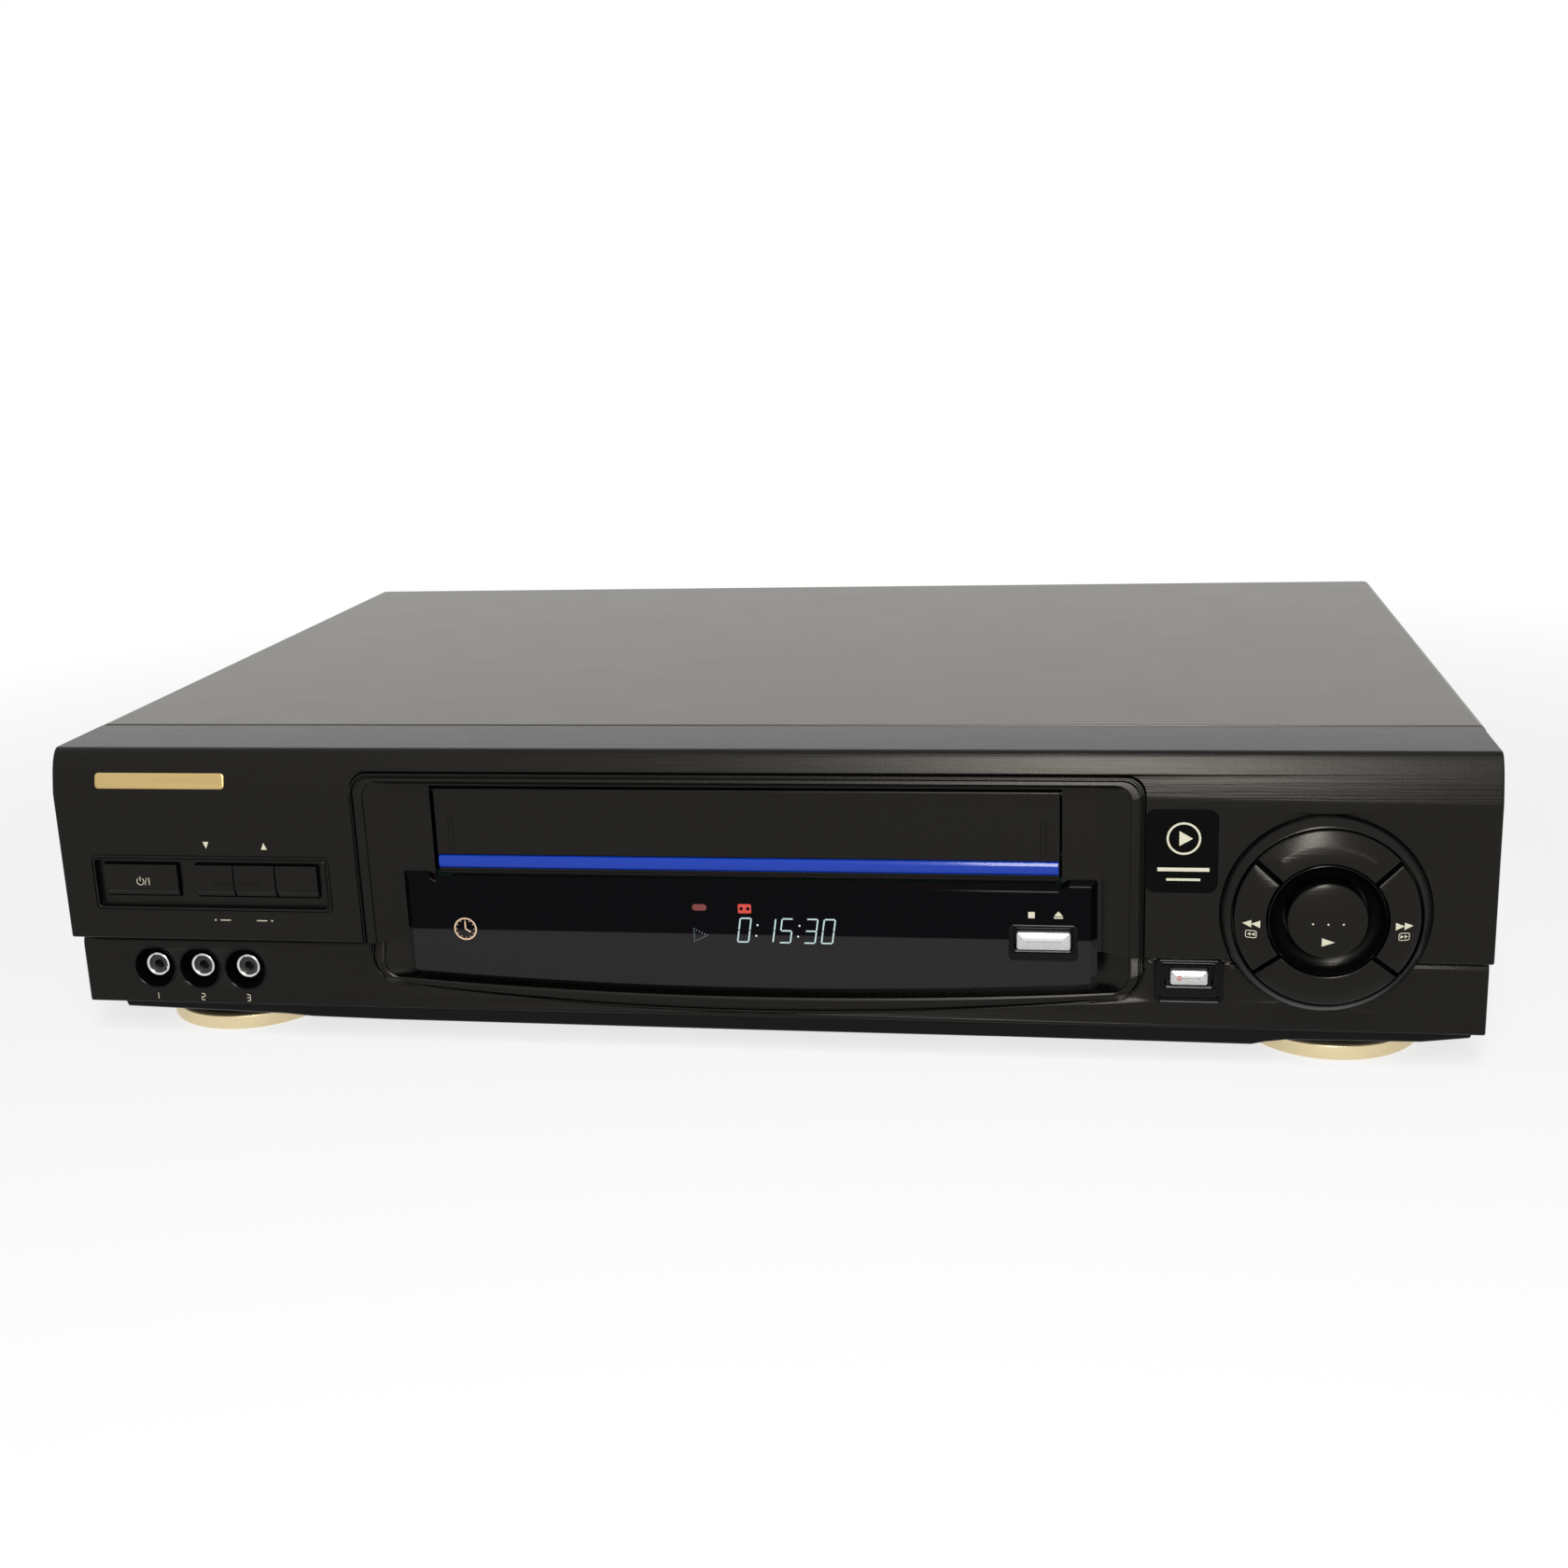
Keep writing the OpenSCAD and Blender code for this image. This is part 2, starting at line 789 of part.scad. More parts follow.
module door_stripe() {
    low = door_low + 2.1;
    color("#2740c8") placed()
        box([0.4 - door_hw, door_d - stripe_t, low], [door_hw - 0.4, door_d, low + stripe_h]);
}

// Points of a wire's round section with n sides, about c in the plane of u and v
function ring_at(c, u, v, r, n) =
    [for (k = [0:n - 1]) c + r * (cos(360 * k / n) * u + sin(360 * k / n) * v)];

module coil(mean_r, wire_r, turns, pitch, steps, n) {
    count = turns * steps;
    rings = [for (i = [0:count])
        let (a = 360 * i / steps, out = [0, cos(a), sin(a)])
        ring_at(mean_r * out + [pitch * i / steps, 0, 0], out, [1, 0, 0], wire_r, n)];
    points = [for (ring = rings) for (p = ring) p];
    sides = [for (i = [0:count - 1], k = [0:n - 1])
        for (f = [[i * n + k, (i + 1) * n + k, (i + 1) * n + (k + 1) % n],
                  [i * n + k, (i + 1) * n + (k + 1) % n, i * n + (k + 1) % n]]) f];
    last = count * n;
    ends = [for (k = [1:n - 2]) for (f = [[0, k, k + 1], [last, last + k + 1, last + k]]) f];
    polyhedron(points = points, faces = concat(sides, ends));
}

module door_spring() {
    color("#b8b8ba") placed() translate([ear_x + ear_t + 0.5, pivot_d, pivot_z]) {
        coil(spring_r, spring_wire, spring_turns, spring_pitch, 16, 6);
    }
}

module window_outline() {
    difference() {
        sagging_outline(window_hw, window_top, window_low, window_rise, 1.5);
        translate([-gate_hw, notch_z]) square([2 * gate_hw, big]);
    }
}

module display_window() {
    color("#0a0a0c") placed() facing(window_d, flat_d) difference() {
        window_outline();
        frame_hole(stop_x, stop_z, stop_w, stop_h);
    }
}

// ---- Buttons ----

module frame_ring(x, z, w, h, d0, d1) {
    facing(d0, d1) difference() {
        round_rect(x, z, w + 2 * frame_rim, h + 2 * frame_rim, frame_corner);
        round_rect(x, z, w + 2 * key_gap, h + 2 * key_gap, key_corner);
    }
}

module button_frames() {
    color("#111112") placed() {
        frame_ring(stop_x, stop_z, stop_w, stop_h, window_d - 0.8, flat_d + plate_t);
        frame_ring(rec_x, rec_z, rec_w, rec_h, strip_d - 0.5, strip_d + wall);
    }
}

// A cap with a retaining flange behind the panel and a stem that reaches its switch
module key(x, z, w, h, face, flange_d) {
    facing(face, flange_d + eps) round_rect(x, z, w, h, key_corner);
    facing(flange_d, flange_d + flange_t) square_at(x, z, w + 4 * key_gap, h + 4 * key_gap);
    rod_d(x, z, stem_r, flange_d + flange_t - eps, stem_end);
}

module square_at(x, z, w, h) {
    translate([x, z]) square([w, h], center = true);
}

module power_button() {
    color("#1e1e1f") placed()
        key(power_x, key_z, power_w, key_h, key_face_d, pocket_back + flange_gap);
}

module small_key(i) {
    x = key_x0 + i * key_pitch;
    flange_d = pocket_back + flange_gap;
    facing(key_face_d, flange_d) round_rect(x, key_z, key_w, key_h, key_corner / 2);
    facing(flange_d - eps, flange_d + flange_t) square_at(x, key_z, key_w, key_h + 4 * key_gap);
    rod_d(x, key_z, stem_r, flange_d + flange_t - eps, stem_end);
}

module channel_down_button() {
    color("#1e1e1f") placed() small_key(0);
}

module channel_up_button() {
    color("#1e1e1f") placed() small_key(1);
}

module source_button() {
    color("#1e1e1f") placed() small_key(2);
}

module stop_eject_button() {
    color("#c9c9cc") placed() key(
        stop_x, stop_z, stop_w, stop_h, window_d - 1.4, flat_d + plate_t + flange_gap
    );
}

module record_button() {
    color("#c9c9cc") placed()
        key(rec_x, rec_z, rec_w, rec_h, strip_d - 1, strip_d + wall + flange_gap);
}

// A slice of a ring round the jog's middle, between two angles
module slice(r0, r1, a0, a1) {
    steps = ceil((a1 - a0) / 4);
    polygon(concat(
        [for (i = [0:steps]) let (a = a0 + (a1 - a0) * i / steps) [r1 * cos(a), r1 * sin(a)]],
        [for (i = [steps:-1:0]) let (a = a0 + (a1 - a0) * i / steps) [r0 * cos(a), r0 * sin(a)]]
    ));
}

// How far the crowned segments stand out of the face at radius r
function dome_at(r) = let (t = (r - bowl_r) / (segment_r - bowl_r))
    dome - (dome - dome_foot) * t * t;

// Crowned part of a ring between two radii and two angles
module segment(r0, r1, a0, a1, back) {
    steps = 5;
    translate([jog_x, 0, jog_z]) intersection() {
        rotate([90, 0, 0]) rotate_extrude($fn = 120) polygon(concat(
            [[r0, -back], [r1, -back]],
            [for (i = [steps:-1:0]) let (r = r0 + (r1 - r0) * i / steps) [r, dome_at(r)]]
        ));
        facing(-dome - over, back + over) slice(r0 - 1, r1 + 1, a0, a1);
    }
}

module jog_ring() {
    color("#1b1b1c") placed() difference() {
        union() {
            // Rim, bowl and floor turned round the middle
            translate([jog_x, 0, jog_z]) rotate([90, 0, 0]) rotate_extrude($fn = 120) polygon([
                [jog_r, -jog_back], [jog_r, 0.06 * dome], [jog_r - 0.5, 0.25 * dome],
                [segment_r + 1, 0.57 * dome], [segment_r + 0.2, dome_foot],
                [segment_r + 0.2, -jog_floor_d], [bowl_r - 0.2, -jog_floor_d],
                [bowl_r - 0.2, 0.97 * dome], [bowl_r - 0.9, 0.66 * dome],
                [(bowl_r + play_r) / 2, 0.42 * dome], [play_r + 2 * key_gap, 0.28 * dome],
                [play_r + 2 * key_gap, -jog_floor_d], [0, -jog_floor_d],
                [0, -jog_floor_d - jog_floor_t], [jog_r - 2, -jog_floor_d - jog_floor_t],
                [jog_r - 2, -jog_back],
            ]);
            // Two fixed segments, above and below
            for (a = [90, 270]) {
                segment(
                    bowl_r - 0.4, segment_r + 0.3, a - 90 + groove_a, a + 90 - groove_a,
                    jog_floor_d + eps
                );
            }
        }
        for (x = [-segment_mid_r, 0, segment_mid_r]) {
            rod_d(jog_x + x, jog_z, stem_r + key_gap, jog_floor_d - 1, jog_back + 1);
        }
    }
}

module segment_button(a) {
    gap_a = key_gap / segment_mid_r * 180 / PI + 0.6;
    segment(
        bowl_r + key_gap, segment_r - key_gap, a - groove_a + gap_a, a + groove_a - gap_a,
        jog_floor_d - press - 0.1
    );
    rod_d(
        jog_x + segment_mid_r * cos(a), jog_z, stem_r, jog_floor_d - press - 0.1 - eps, stem_end
    );
}

module rewind_button() {
    color("#1e1e1f") placed() segment_button(180);
}

module fast_forward_button() {
    color("#1e1e1f") placed() segment_button(0);
}

module play_button() {
    color("#1e1e1f") placed() {
        translate([jog_x, 0, jog_z]) rotate([90, 0, 0]) rotate_extrude($fn = 96) polygon([
            [0, -jog_floor_d + press + 0.1], [play_r, -jog_floor_d + press + 0.1],
            [play_r, dome - 0.5], [play_r - 0.4, dome], [0.75 * play_r, dome + 0.45 * play_crown],
            [0.4 * play_r, dome + 0.86 * play_crown], [0, dome + play_crown],
        ]);
        rod_d(jog_x, jog_z, stem_r, jog_floor_d - press - 0.1 - eps, stem_end);
    }
}

// ---- Front electrics ----

module front_socket_shells() {
    color("#d8d8da") placed() for (i = [0:2]) difference() {
        rod_d(phono_x0 + i * phono_pitch, phono_z, phono_r, phono_face, phono_face + phono_len);
        rod_d(
            phono_x0 + i * phono_pitch, phono_z, phono_bore, phono_face - over,
            phono_face + phono_len + over
        );
    }
}

module front_socket_block() {
    color("#0e0e0f") placed() difference() {
        union() {
            difference() {
                box(
                    [phono_x0 - jack_side, jack_d, rim_top],
                    [phono_x0 + 2 * phono_pitch + jack_side, jack_back, step_z - 1.4]
                );
                for (i = [0:2]) {
                    rod_d(
                        phono_x0 + i * phono_pitch, phono_z, well_r, jack_d - over,
                        phono_face + phono_len
                    );
                }
            }
            for (i = [0:2]) {
                rod_d(
                    phono_x0 + i * phono_pitch, phono_z, phono_bore - 0.1, phono_face + 1,
                    phono_face + phono_len + eps
                );
            }
        }
        for (i = [0:2]) {
            rod_d(
                phono_x0 + i * phono_pitch, phono_z, pin_hole_r, phono_face,
                phono_face + phono_len - 1
            );
        }
    }
}

module front_board() {
    back = front_board_d + board_t;
    color("#2c5a35") placed() {
        box(
            [-front_board_hw, front_board_d, step_z + 3],
            [-front_board_mid, back, front_board_tops[0]]
        );
        box(
            [-front_board_mid - eps, front_board_d, front_board_low],
            [front_board_mid + eps, back, front_board_tops[1]]
        );
        box(
            [front_board_mid, front_board_d, front_board_low],
            [front_board_hw, back, front_board_tops[2]]
        );
        // Feet that stand in the tray
        for (x = board_feet) {
            box(
                [x - foot_hw, front_board_d, belly_top],
                [x + foot_hw, back, front_board_low + eps]
            );
        }
    }
}

module display_tube() {
    color("#20302e") placed() box(tube_low, tube_high);
}

module switch_at(x, z) {
    face = front_board_d - switch_t;
    box([x - switch_hw, face, z - switch_hw], [x + switch_hw, front_board_d, z + switch_hw]);
    rod_d(x, z, plunger_r, face - plunger_t, face + eps);
}

module key_switches() {
    color("#3a3a3c") placed() {
        switch_at(power_x, key_z);
        for (i = [0:2]) {
            switch_at(key_x0 + i * key_pitch, key_z);
        }
        switch_at(stop_x, stop_z);
        switch_at(rec_x, rec_z);
        for (x = [-segment_mid_r, 0, segment_mid_r]) {
            switch_at(jog_x + x, jog_z);
        }
    }
}

// ---- Rear electrics and power supply ----

module main_board() {
    color("#2c5a35") placed() difference() {
        box([-board_hw, board_front, board_z], [board_hw, board_back, board_z + board_t]);
        for (at = deck_posts_at) {
            rod_z(at, post_r + 1, board_z - over, board_z + board_t + over);
        }
    }
}

module rear_socket_shells() {
    color("#d8d8da") placed() for (x = rear_phono_xs, z = rear_phono_zs) difference() {
        rod_d(x, z, phono_r, rear_jack_face, panel_back + phono_len);
        rod_d(x, z, phono_bore, rear_jack_face - over, panel_back + phono_len + over);
    }
}

module rear_socket_block() {
    color("#0e0e0f") placed() difference() {
        union() {
            box(
                [rear_phono_xs[0] - jack_side, rear_jack_face - rear_block_t, supply_z],
                [rear_phono_xs[1] + jack_side, rear_jack_face, rear_phono_zs[2] + jack_side]
            );
            for (x = rear_phono_xs, z = rear_phono_zs) {
                rod_d(x, z, phono_bore - 0.1, rear_jack_face - eps, panel_back + phono_len - 1);
            }
        }
        for (x = rear_phono_xs, z = rear_phono_zs) {
            rod_d(x, z, pin_hole_r, panel_back, panel_back + phono_len);
        }
    }
}

module aerial_sockets() {
    color("#cfcfd2") placed() for (z = aerial_zs) difference() {
        rod_d(aerial_x, z, aerial_r, rear_jack_face, rear_tip);
        rod_d(aerial_x, z, aerial_r / 4, rear_tip - 7, rear_tip + over);
    }
}

module tuner_box() {
    color("#a9abad") placed() box(
        [aerial_x - tuner_hw, rear_jack_face - tuner_len, supply_z],
        [aerial_x + tuner_hw, rear_jack_face, aerial_zs[1] + 14]
    );
}

module cord_gland() {
    color("#121212") placed() difference() {
        union() {
            rod_d(gland_x, gland_z, gland_body_r, rear_inside - gland_lip, panel_back + gland_lip);
            rod_d(gland_x, gland_z, gland_flange_r, panel_back, panel_back + gland_lip);
            rod_d(
                gland_x, gland_z, gland_flange_r, rear_inside - gland_lip - 1,
                rear_inside - seat
            );
        }
        rod_d(
            gland_x, gland_z, gland_r, rear_inside - gland_lip - 1 - over,
            panel_back + gland_lip + over
        );
    }
}

module transformer() {
    a = [core_low[0], core_low[1], supply_z];
    b = [core_high[0], core_high[1], supply_z + core_h];
    color("#8a7a5c") placed() {
        box(a, b);
        box(
            a + [winding_in, -winding_out, winding_out],
            b + [-winding_in, winding_out, -winding_out]
        );
    }
}

module heat_sink() {
    fin_d = sink_low[1] + sink_t;
    color("#b4b6b8") placed() {
        box(
            [sink_low[0], sink_low[1], supply_z],
            [sink_low[0] + sink_fins * sink_pitch, fin_d, sink_top]
        );
        for (i = [0:sink_fins - 1]) {
            x = sink_low[0] + i * sink_pitch;
            box([x, fin_d - eps, supply_z + 4], [x + fin_t, fin_d + fin_len, sink_top]);
        }
    }
}

module capacitors() {
    color("#26303c") placed() for (c = concat(big_cans, small_cans)) {
        rod_z([c[0], c[1]], c[2], supply_z, supply_z + c[3]);
    }
}

// ---- Tape deck ----

module guide_slot(side) {
    a = [side * guide_start[0], guide_start[1]];
    b = a + [side * guide_way[0], guide_way[1]];
    way = atan2(b[1] - a[1], b[0] - a[0]);
    r = keel_w / 2 + seat;
    flatwise(deck_z - over, deck_top + over) translate([drum_x, 0]) polygon(concat(
        [for (t = [way - 90:15:way + 90.1]) b + r * [cos(t), sin(t)]],
        [for (t = [way + 90:15:way + 270.1]) a + r * [cos(t), sin(t)]]
    ));
}

module deck_plate() {
    color("#b9bbbd") placed() difference() {
        union() {
            box([-deck_hw, deck_front, deck_z], [deck_hw, deck_back, deck_top]);
            for (side = [-1, 1]) {
                rod_z([side * reel_x, reel_d], 4, deck_top - eps, table_z - 0.3);
                rod_z([side * reel_x, reel_d], reel_post_r, deck_top - eps, spindle_top - 3);
            }
            rod_z([0, idler_pivot_d], idler_post_r, deck_top - eps, deck_top + 6);
            rod_z(cam_at, 6, deck_top - eps, gear_z - 0.3);
            rod_z(cam_at, 3, deck_top - eps, gear_z + gear_t + 1.5);
            rod_z(pinch_pivot, 5, deck_top - eps, arm_z - 0.3);
            rod_z(pinch_pivot, 3, deck_top - eps, arm_z + arm_t + 4);
            rod_z(tension_pivot, 4, deck_top - eps, arm_z - 0.3);
            rod_z(tension_pivot, 2.5, deck_top - eps, arm_z + arm_t + 3);
        }
        guide_slot(-1);
        guide_slot(1);
        rod_z([capstan_x, capstan_d], capstan_r + 1, deck_z - over, deck_top + over);
    }
}

module deck_posts() {
    color("#9a9c9e") placed() for (at = deck_posts_at) {
        rod_z(at, post_r, belly_top, deck_z);
    }
}

// Stands what is drawn about the drum's own axis, at its base
module drum_axis() {
    translate([drum_x, drum_d, drum_base_z]) rotate([0, drum_lean, 0]) children();
}

module lower_drum() {
    flange = 2.8;
    color("#c2c4c6") placed() {
        difference() {
            union() {
                drum_axis() translate([0, 0, flange])
                    cylinder(r = drum_r, h = lower_drum_h - flange, $fn = 96);
                drum_axis() translate([0, 0, -1]) cylinder(r = drum_seat_r, h = 4, $fn = 96);
            }
            drum_axis() translate([0, 0, 1]) cylinder(r = drum_shaft_r + running, h = lower_drum_h);
            rod_z([drum_x, drum_d], 2 * drum_r, 0, deck_top);
        }
        // Base plate round the leaning drum
        difference() {
            rod_z([drum_x, drum_d], drum_r - 1, deck_top, deck_top + 1.2);
            drum_axis() translate([0, 0, -1 - 2 * eps]) cylinder(r = drum_seat_r, h = 5, $fn = 96);
        }
    }
}

module upper_drum() {
    low = lower_drum_h + drum_gap;
    color("#d4d6d8") placed() drum_axis() {
        translate([0, 0, low]) cylinder(r = drum_r, h = upper_drum_h, $fn = 96);
        translate([0, 0, low + upper_drum_h - eps]) cylinder(r = 8, h = 3);
        translate([0, 0, 1.5]) cylinder(r = drum_shaft_r, h = lower_drum_h);
    }
}

module capstan() {
    color("#cfd1d3") placed() {
        rod_z([capstan_x, capstan_d], capstan_r, supply_z + 1, capstan_top);
        rod_z([capstan_x, capstan_d], flywheel_r, supply_z + 0.7, deck_z - 0.7);
    }
}

module capstan_bearing() {
    h = arm_z + arm_t - deck_top - seat;
    color("#b08d57") placed() difference() {
        union() {
            rod_z([capstan_x, capstan_d], 6, deck_top, deck_top + 1.2);
            rod_z([capstan_x, capstan_d], 3.6, deck_top, deck_top + h);
        }
        rod_z([capstan_x, capstan_d], capstan_r + running, deck_top - over, deck_top + h + over);
    }
}

function polar(at, len, a) = [at[0] + len * cos(a), at[1] + len * sin(a)];
pinch_at = polar(pinch_pivot, pinch_len, pinch_rest_a);
tension_at = polar(tension_pivot, tension_len, tension_rest_a);

module pinch_arm() {
    color("#a6a8aa") placed() difference() {
        union() {
            flatwise(arm_z, arm_z + arm_t) link(pinch_pivot, pinch_at, 4.5, $fn = 32);
            rod_z(pinch_pivot, 4.5, arm_z, arm_z + arm_t + 3);
            rod_z(pinch_at, pinch_post_r, arm_z, arm_z + arm_t + 22);
        }
        rod_z(pinch_pivot, 3 + running, arm_z - 1, arm_z + arm_t + 5);
    }
}

module pinch_roller() {
    color("#1a1a1a") placed() difference() {
        rod_z(pinch_at, pinch_r, arm_z + arm_t + 0.3, arm_z + arm_t + 20);
        rod_z(pinch_at, pinch_post_r + running, arm_z, arm_z + arm_t + 21);
    }
}

module reel(x) {
    difference() {
        union() {
            rod_z([x, reel_d], reel_r, table_z, table_z + table_t);
            rod_z([x, reel_d], 7.5, table_z, spindle_top - 4);
            translate([x, reel_d, spindle_top - 4 - eps]) cylinder(r1 = 7.5, r2 = 3, h = 4);
            for (a = [0, 120, 240]) {
                translate([x, reel_d, table_z]) rotate(a) translate([6, -0.8, 0])
                    cube([3.4, 1.6, spindle_top - table_z - 5]);
            }
        }
        rod_z([x, reel_d], reel_post_r + running, table_z - 1, spindle_top - 2.5);
    }
}

module supply_reel() {
    color("#e2e2df") placed() reel(-reel_x);
}

module takeup_reel() {
    color("#e2e2df") placed() reel(reel_x);
}

module idler_arm() {
    color("#a6a8aa") placed() difference() {
        union() {
            flatwise(deck_top + 0.3, deck_top + 1.7)
                link([0, reel_d], [0, idler_pivot_d], 4, $fn = 32);
            rod_z([0, idler_pivot_d], 4, deck_top + 0.3, deck_top + 5);
            rod_z([0, reel_d], 1.5, deck_top + 1, table_z + table_t + 0.4);
        }
        rod_z([0, idler_pivot_d], idler_post_r + running, deck_top - 1, deck_top + 6);
    }
}

module idler_wheel() {
    color("#3a3a3a") placed() difference() {
        rod_z([0, reel_d], idler_r, table_z, table_z + table_t);
        rod_z([0, reel_d], 1.5 + running, table_z - 1, table_z + table_t + 1);
    }
}

// A spur gear's outline with straight-flanked teeth, turned by a
module gear_outline(teeth, a) {
    pitch_r = gear_m * teeth / 2;
    root_r = pitch_r - 1.2 * gear_m;
    tip_r = pitch_r + 0.85 * gear_m;
    half_pitch = 360 / teeth / 2;
    polygon([for (i = [0:teeth - 1])
        for (p = [[root_r, -0.62], [tip_r, -0.2], [tip_r, 0.2], [root_r, 0.62]])
            let (b = a + 360 * i / teeth + p[1] * half_pitch) [p[0] * cos(b), p[0] * sin(b)]]);
}

module cam_gear() {
    color("#d9d6cb") placed() difference() {
        union() {
            translate([cam_at[0], cam_at[1], gear_z]) linear_extrude(gear_t)
                gear_outline(cam_teeth, 90);
            rod_z(cam_at, 7, gear_z, gear_z + gear_t + 1);
        }
        rod_z(cam_at, 3 + running, gear_z - 1, gear_z + gear_t + 2);
    }
}

module motor_pinion() {
    color("#e6e3d8") placed() {
        translate([pinion_at[0], pinion_at[1], gear_z]) linear_extrude(gear_t)
            gear_outline(pinion_teeth, -90 + 180 / pinion_teeth);
        rod_z(pinion_at, motor_shaft_r, gear_z + gear_t - eps, gear_z + gear_t + 6);
    }
}

module loading_motor() {
    plate_z = gear_z + gear_t + 2;
    color("#b5b7b9") placed() difference() {
        union() {
            rod_z(pinion_at, motor_r, plate_z, plate_z + motor_h);
            for (side = [-1, 1]) {
                rod_z(pinion_at + [side * motor_leg_x, motor_leg_d], 2.5, deck_top, plate_z);
            }
            flatwise(plate_z - 1.2, plate_z + eps) {
                link(
                    pinion_at + [-motor_leg_x, motor_leg_d],
                    pinion_at + [motor_leg_x, motor_leg_d], 4, $fn = 32
                );
                translate(pinion_at) circle(6);
            }
        }
        rod_z(pinion_at, motor_shaft_r + running, gear_z, gear_z + gear_t + 6.5);
    }
}

module tape_guide(side) {
    a = [drum_x + side * guide_start[0], guide_start[1]];
    way = atan2(guide_way[1], side * guide_way[0]);
    translate([a[0], a[1], 0]) {
        rotate(way) box([-6, -5, deck_top + 0.3], [6, 5, deck_top + 4]);
        rod_z([0, 0], keel_w / 2, deck_z, deck_top + 0.4);
        rod_z([0, 0], 1.4, deck_top + 3, deck_top + 27);
        rod_z([0, 0], 3, deck_top + 6, deck_top + 24);
        rod_z([0, 0], 3.6, deck_top + 4 - eps, deck_top + 5.5);
        rod_z([0, 0], 3.6, deck_top + 25, deck_top + 26.5);
    }
}

module entry_guide() {
    color("#d2d4d6") placed() tape_guide(-1);
}

module exit_guide() {
    color("#d2d4d6") placed() tape_guide(1);
}

module fixed_heads() {
    color("#c8cacc") placed() {
        for (h = head_spots) {
            box([h[0], h[1], deck_top], [h[2], h[3], deck_top + head_h]);
        }
    }
}

module tension_arm() {
    color("#a6a8aa") placed() difference() {
        union() {
            flatwise(arm_z, arm_z + arm_t) link(tension_pivot, tension_at, 3, $fn = 32);
            rod_z(tension_pivot, 4, arm_z, arm_z + arm_t + 2);
            rod_z(tension_at, 2, arm_z, arm_z + arm_t + 20);
        }
        rod_z(tension_pivot, 2.5 + running, arm_z - 1, arm_z + arm_t + 4);
    }
}

// ---- Cassette loader ----

module loader_brackets() {
    color("#b9bbbd") placed() both_sides() {
        sideways(bracket_x, bracket_x + bracket_t) difference() {
            translate([bracket_front, deck_top])
                square([bracket_back - bracket_front, stud_z + 14 - deck_top]);
            link([pin_ds[0], stud_z], [pin_ds[1] + load_in, stud_z], pin_r + running, $fn = 32);
        }
        box(
            [bracket_x + bracket_t - eps, bracket_front, deck_top],
            [deck_hw - 1, bracket_back, deck_top + 1.5]
        );
    }
}

module loader_slides() {
    color("#8d8f92") placed() both_sides() {
        sideways(slide_x, slide_x + slide_t) difference() {
            translate([slide_front, slide_low])
                square([slide_back - slide_front, holder_top + 2 - slide_low]);
            for (d = pin_ds) {
                link([d, pin_z - load_down], [d, pin_z], pin_r + running, $fn = 32);
            }
        }
        for (d = pin_ds) {
            rod_x(d, stud_z, pin_r, slide_x + slide_t - eps, bracket_x + bracket_t + 1);
        }
    }
}

module cassette_holder() {
    color("#9fa1a4") placed() {
        box([-holder_hw, holder_front, holder_top - sheet], [holder_hw, holder_back, holder_top]);
        both_sides() {
            box(
                [holder_hw - sheet, holder_front, slot_low - sheet],
                [holder_hw, holder_back, holder_top]
            );
            box([ledge_in, holder_front, slot_low - sheet], [holder_hw, holder_back, slot_low]);
            for (d = pin_ds) {
                rod_x(d, pin_z, pin_r, holder_hw - eps, slide_x + slide_t);
            }
        }
    }
}

top_cover();
front_panel();
bay_frame();
cassette_door();
door_stripe();
door_spring();
display_window();
button_frames();
power_button();
channel_down_button();
channel_up_button();
source_button();
stop_eject_button();
record_button();
jog_ring();
rewind_button();
fast_forward_button();
play_button();
front_socket_shells();
front_socket_block();
front_board();
display_tube();
key_switches();
chassis_tray();
rear_panel();
foot_rings();
foot_cups();
cover_screws();
main_board();
rear_socket_shells();
rear_socket_block();
aerial_sockets();
tuner_box();
cord_gland();
transformer();
heat_sink();
capacitors();
deck_plate();
deck_posts();
lower_drum();
upper_drum();
capstan();
capstan_bearing();
pinch_arm();
pinch_roller();
supply_reel();
takeup_reel();
idler_arm();
idler_wheel();
cam_gear();
loading_motor();
motor_pinion();
entry_guide();
exit_guide();
fixed_heads();
tension_arm();
loader_brackets();
loader_slides();
cassette_holder();
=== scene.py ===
import json
import math

import bmesh
import bpy
from mathutils import Matrix, Vector
from mathutils.geometry import delaunay_2d_cdt


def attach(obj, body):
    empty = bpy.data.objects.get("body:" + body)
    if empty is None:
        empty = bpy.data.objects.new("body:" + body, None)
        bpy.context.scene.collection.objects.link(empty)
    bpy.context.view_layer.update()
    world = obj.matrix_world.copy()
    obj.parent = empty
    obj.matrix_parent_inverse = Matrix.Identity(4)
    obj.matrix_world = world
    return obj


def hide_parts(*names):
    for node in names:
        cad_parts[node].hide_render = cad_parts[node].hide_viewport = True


# Looks of a front-loading video cassette recorder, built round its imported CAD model.
# Shapes are written in millimetres as (x, depth, z). Depth 0 is the upper front face.

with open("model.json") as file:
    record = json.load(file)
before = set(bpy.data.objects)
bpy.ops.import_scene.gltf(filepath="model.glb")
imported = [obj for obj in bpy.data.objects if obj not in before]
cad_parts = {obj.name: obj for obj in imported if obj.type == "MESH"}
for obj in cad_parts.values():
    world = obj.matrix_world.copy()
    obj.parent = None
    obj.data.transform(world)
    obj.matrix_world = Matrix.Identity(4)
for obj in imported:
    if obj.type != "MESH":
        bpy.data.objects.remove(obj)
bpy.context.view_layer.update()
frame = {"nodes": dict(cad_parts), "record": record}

MM = 0.001
FACE_Y = -147.65    # Y of the upper front face
STEP_Z = 37.2       # step between the upper face and the lower strip
LEAN_Z = 84.3       # line where the face begins to lean back


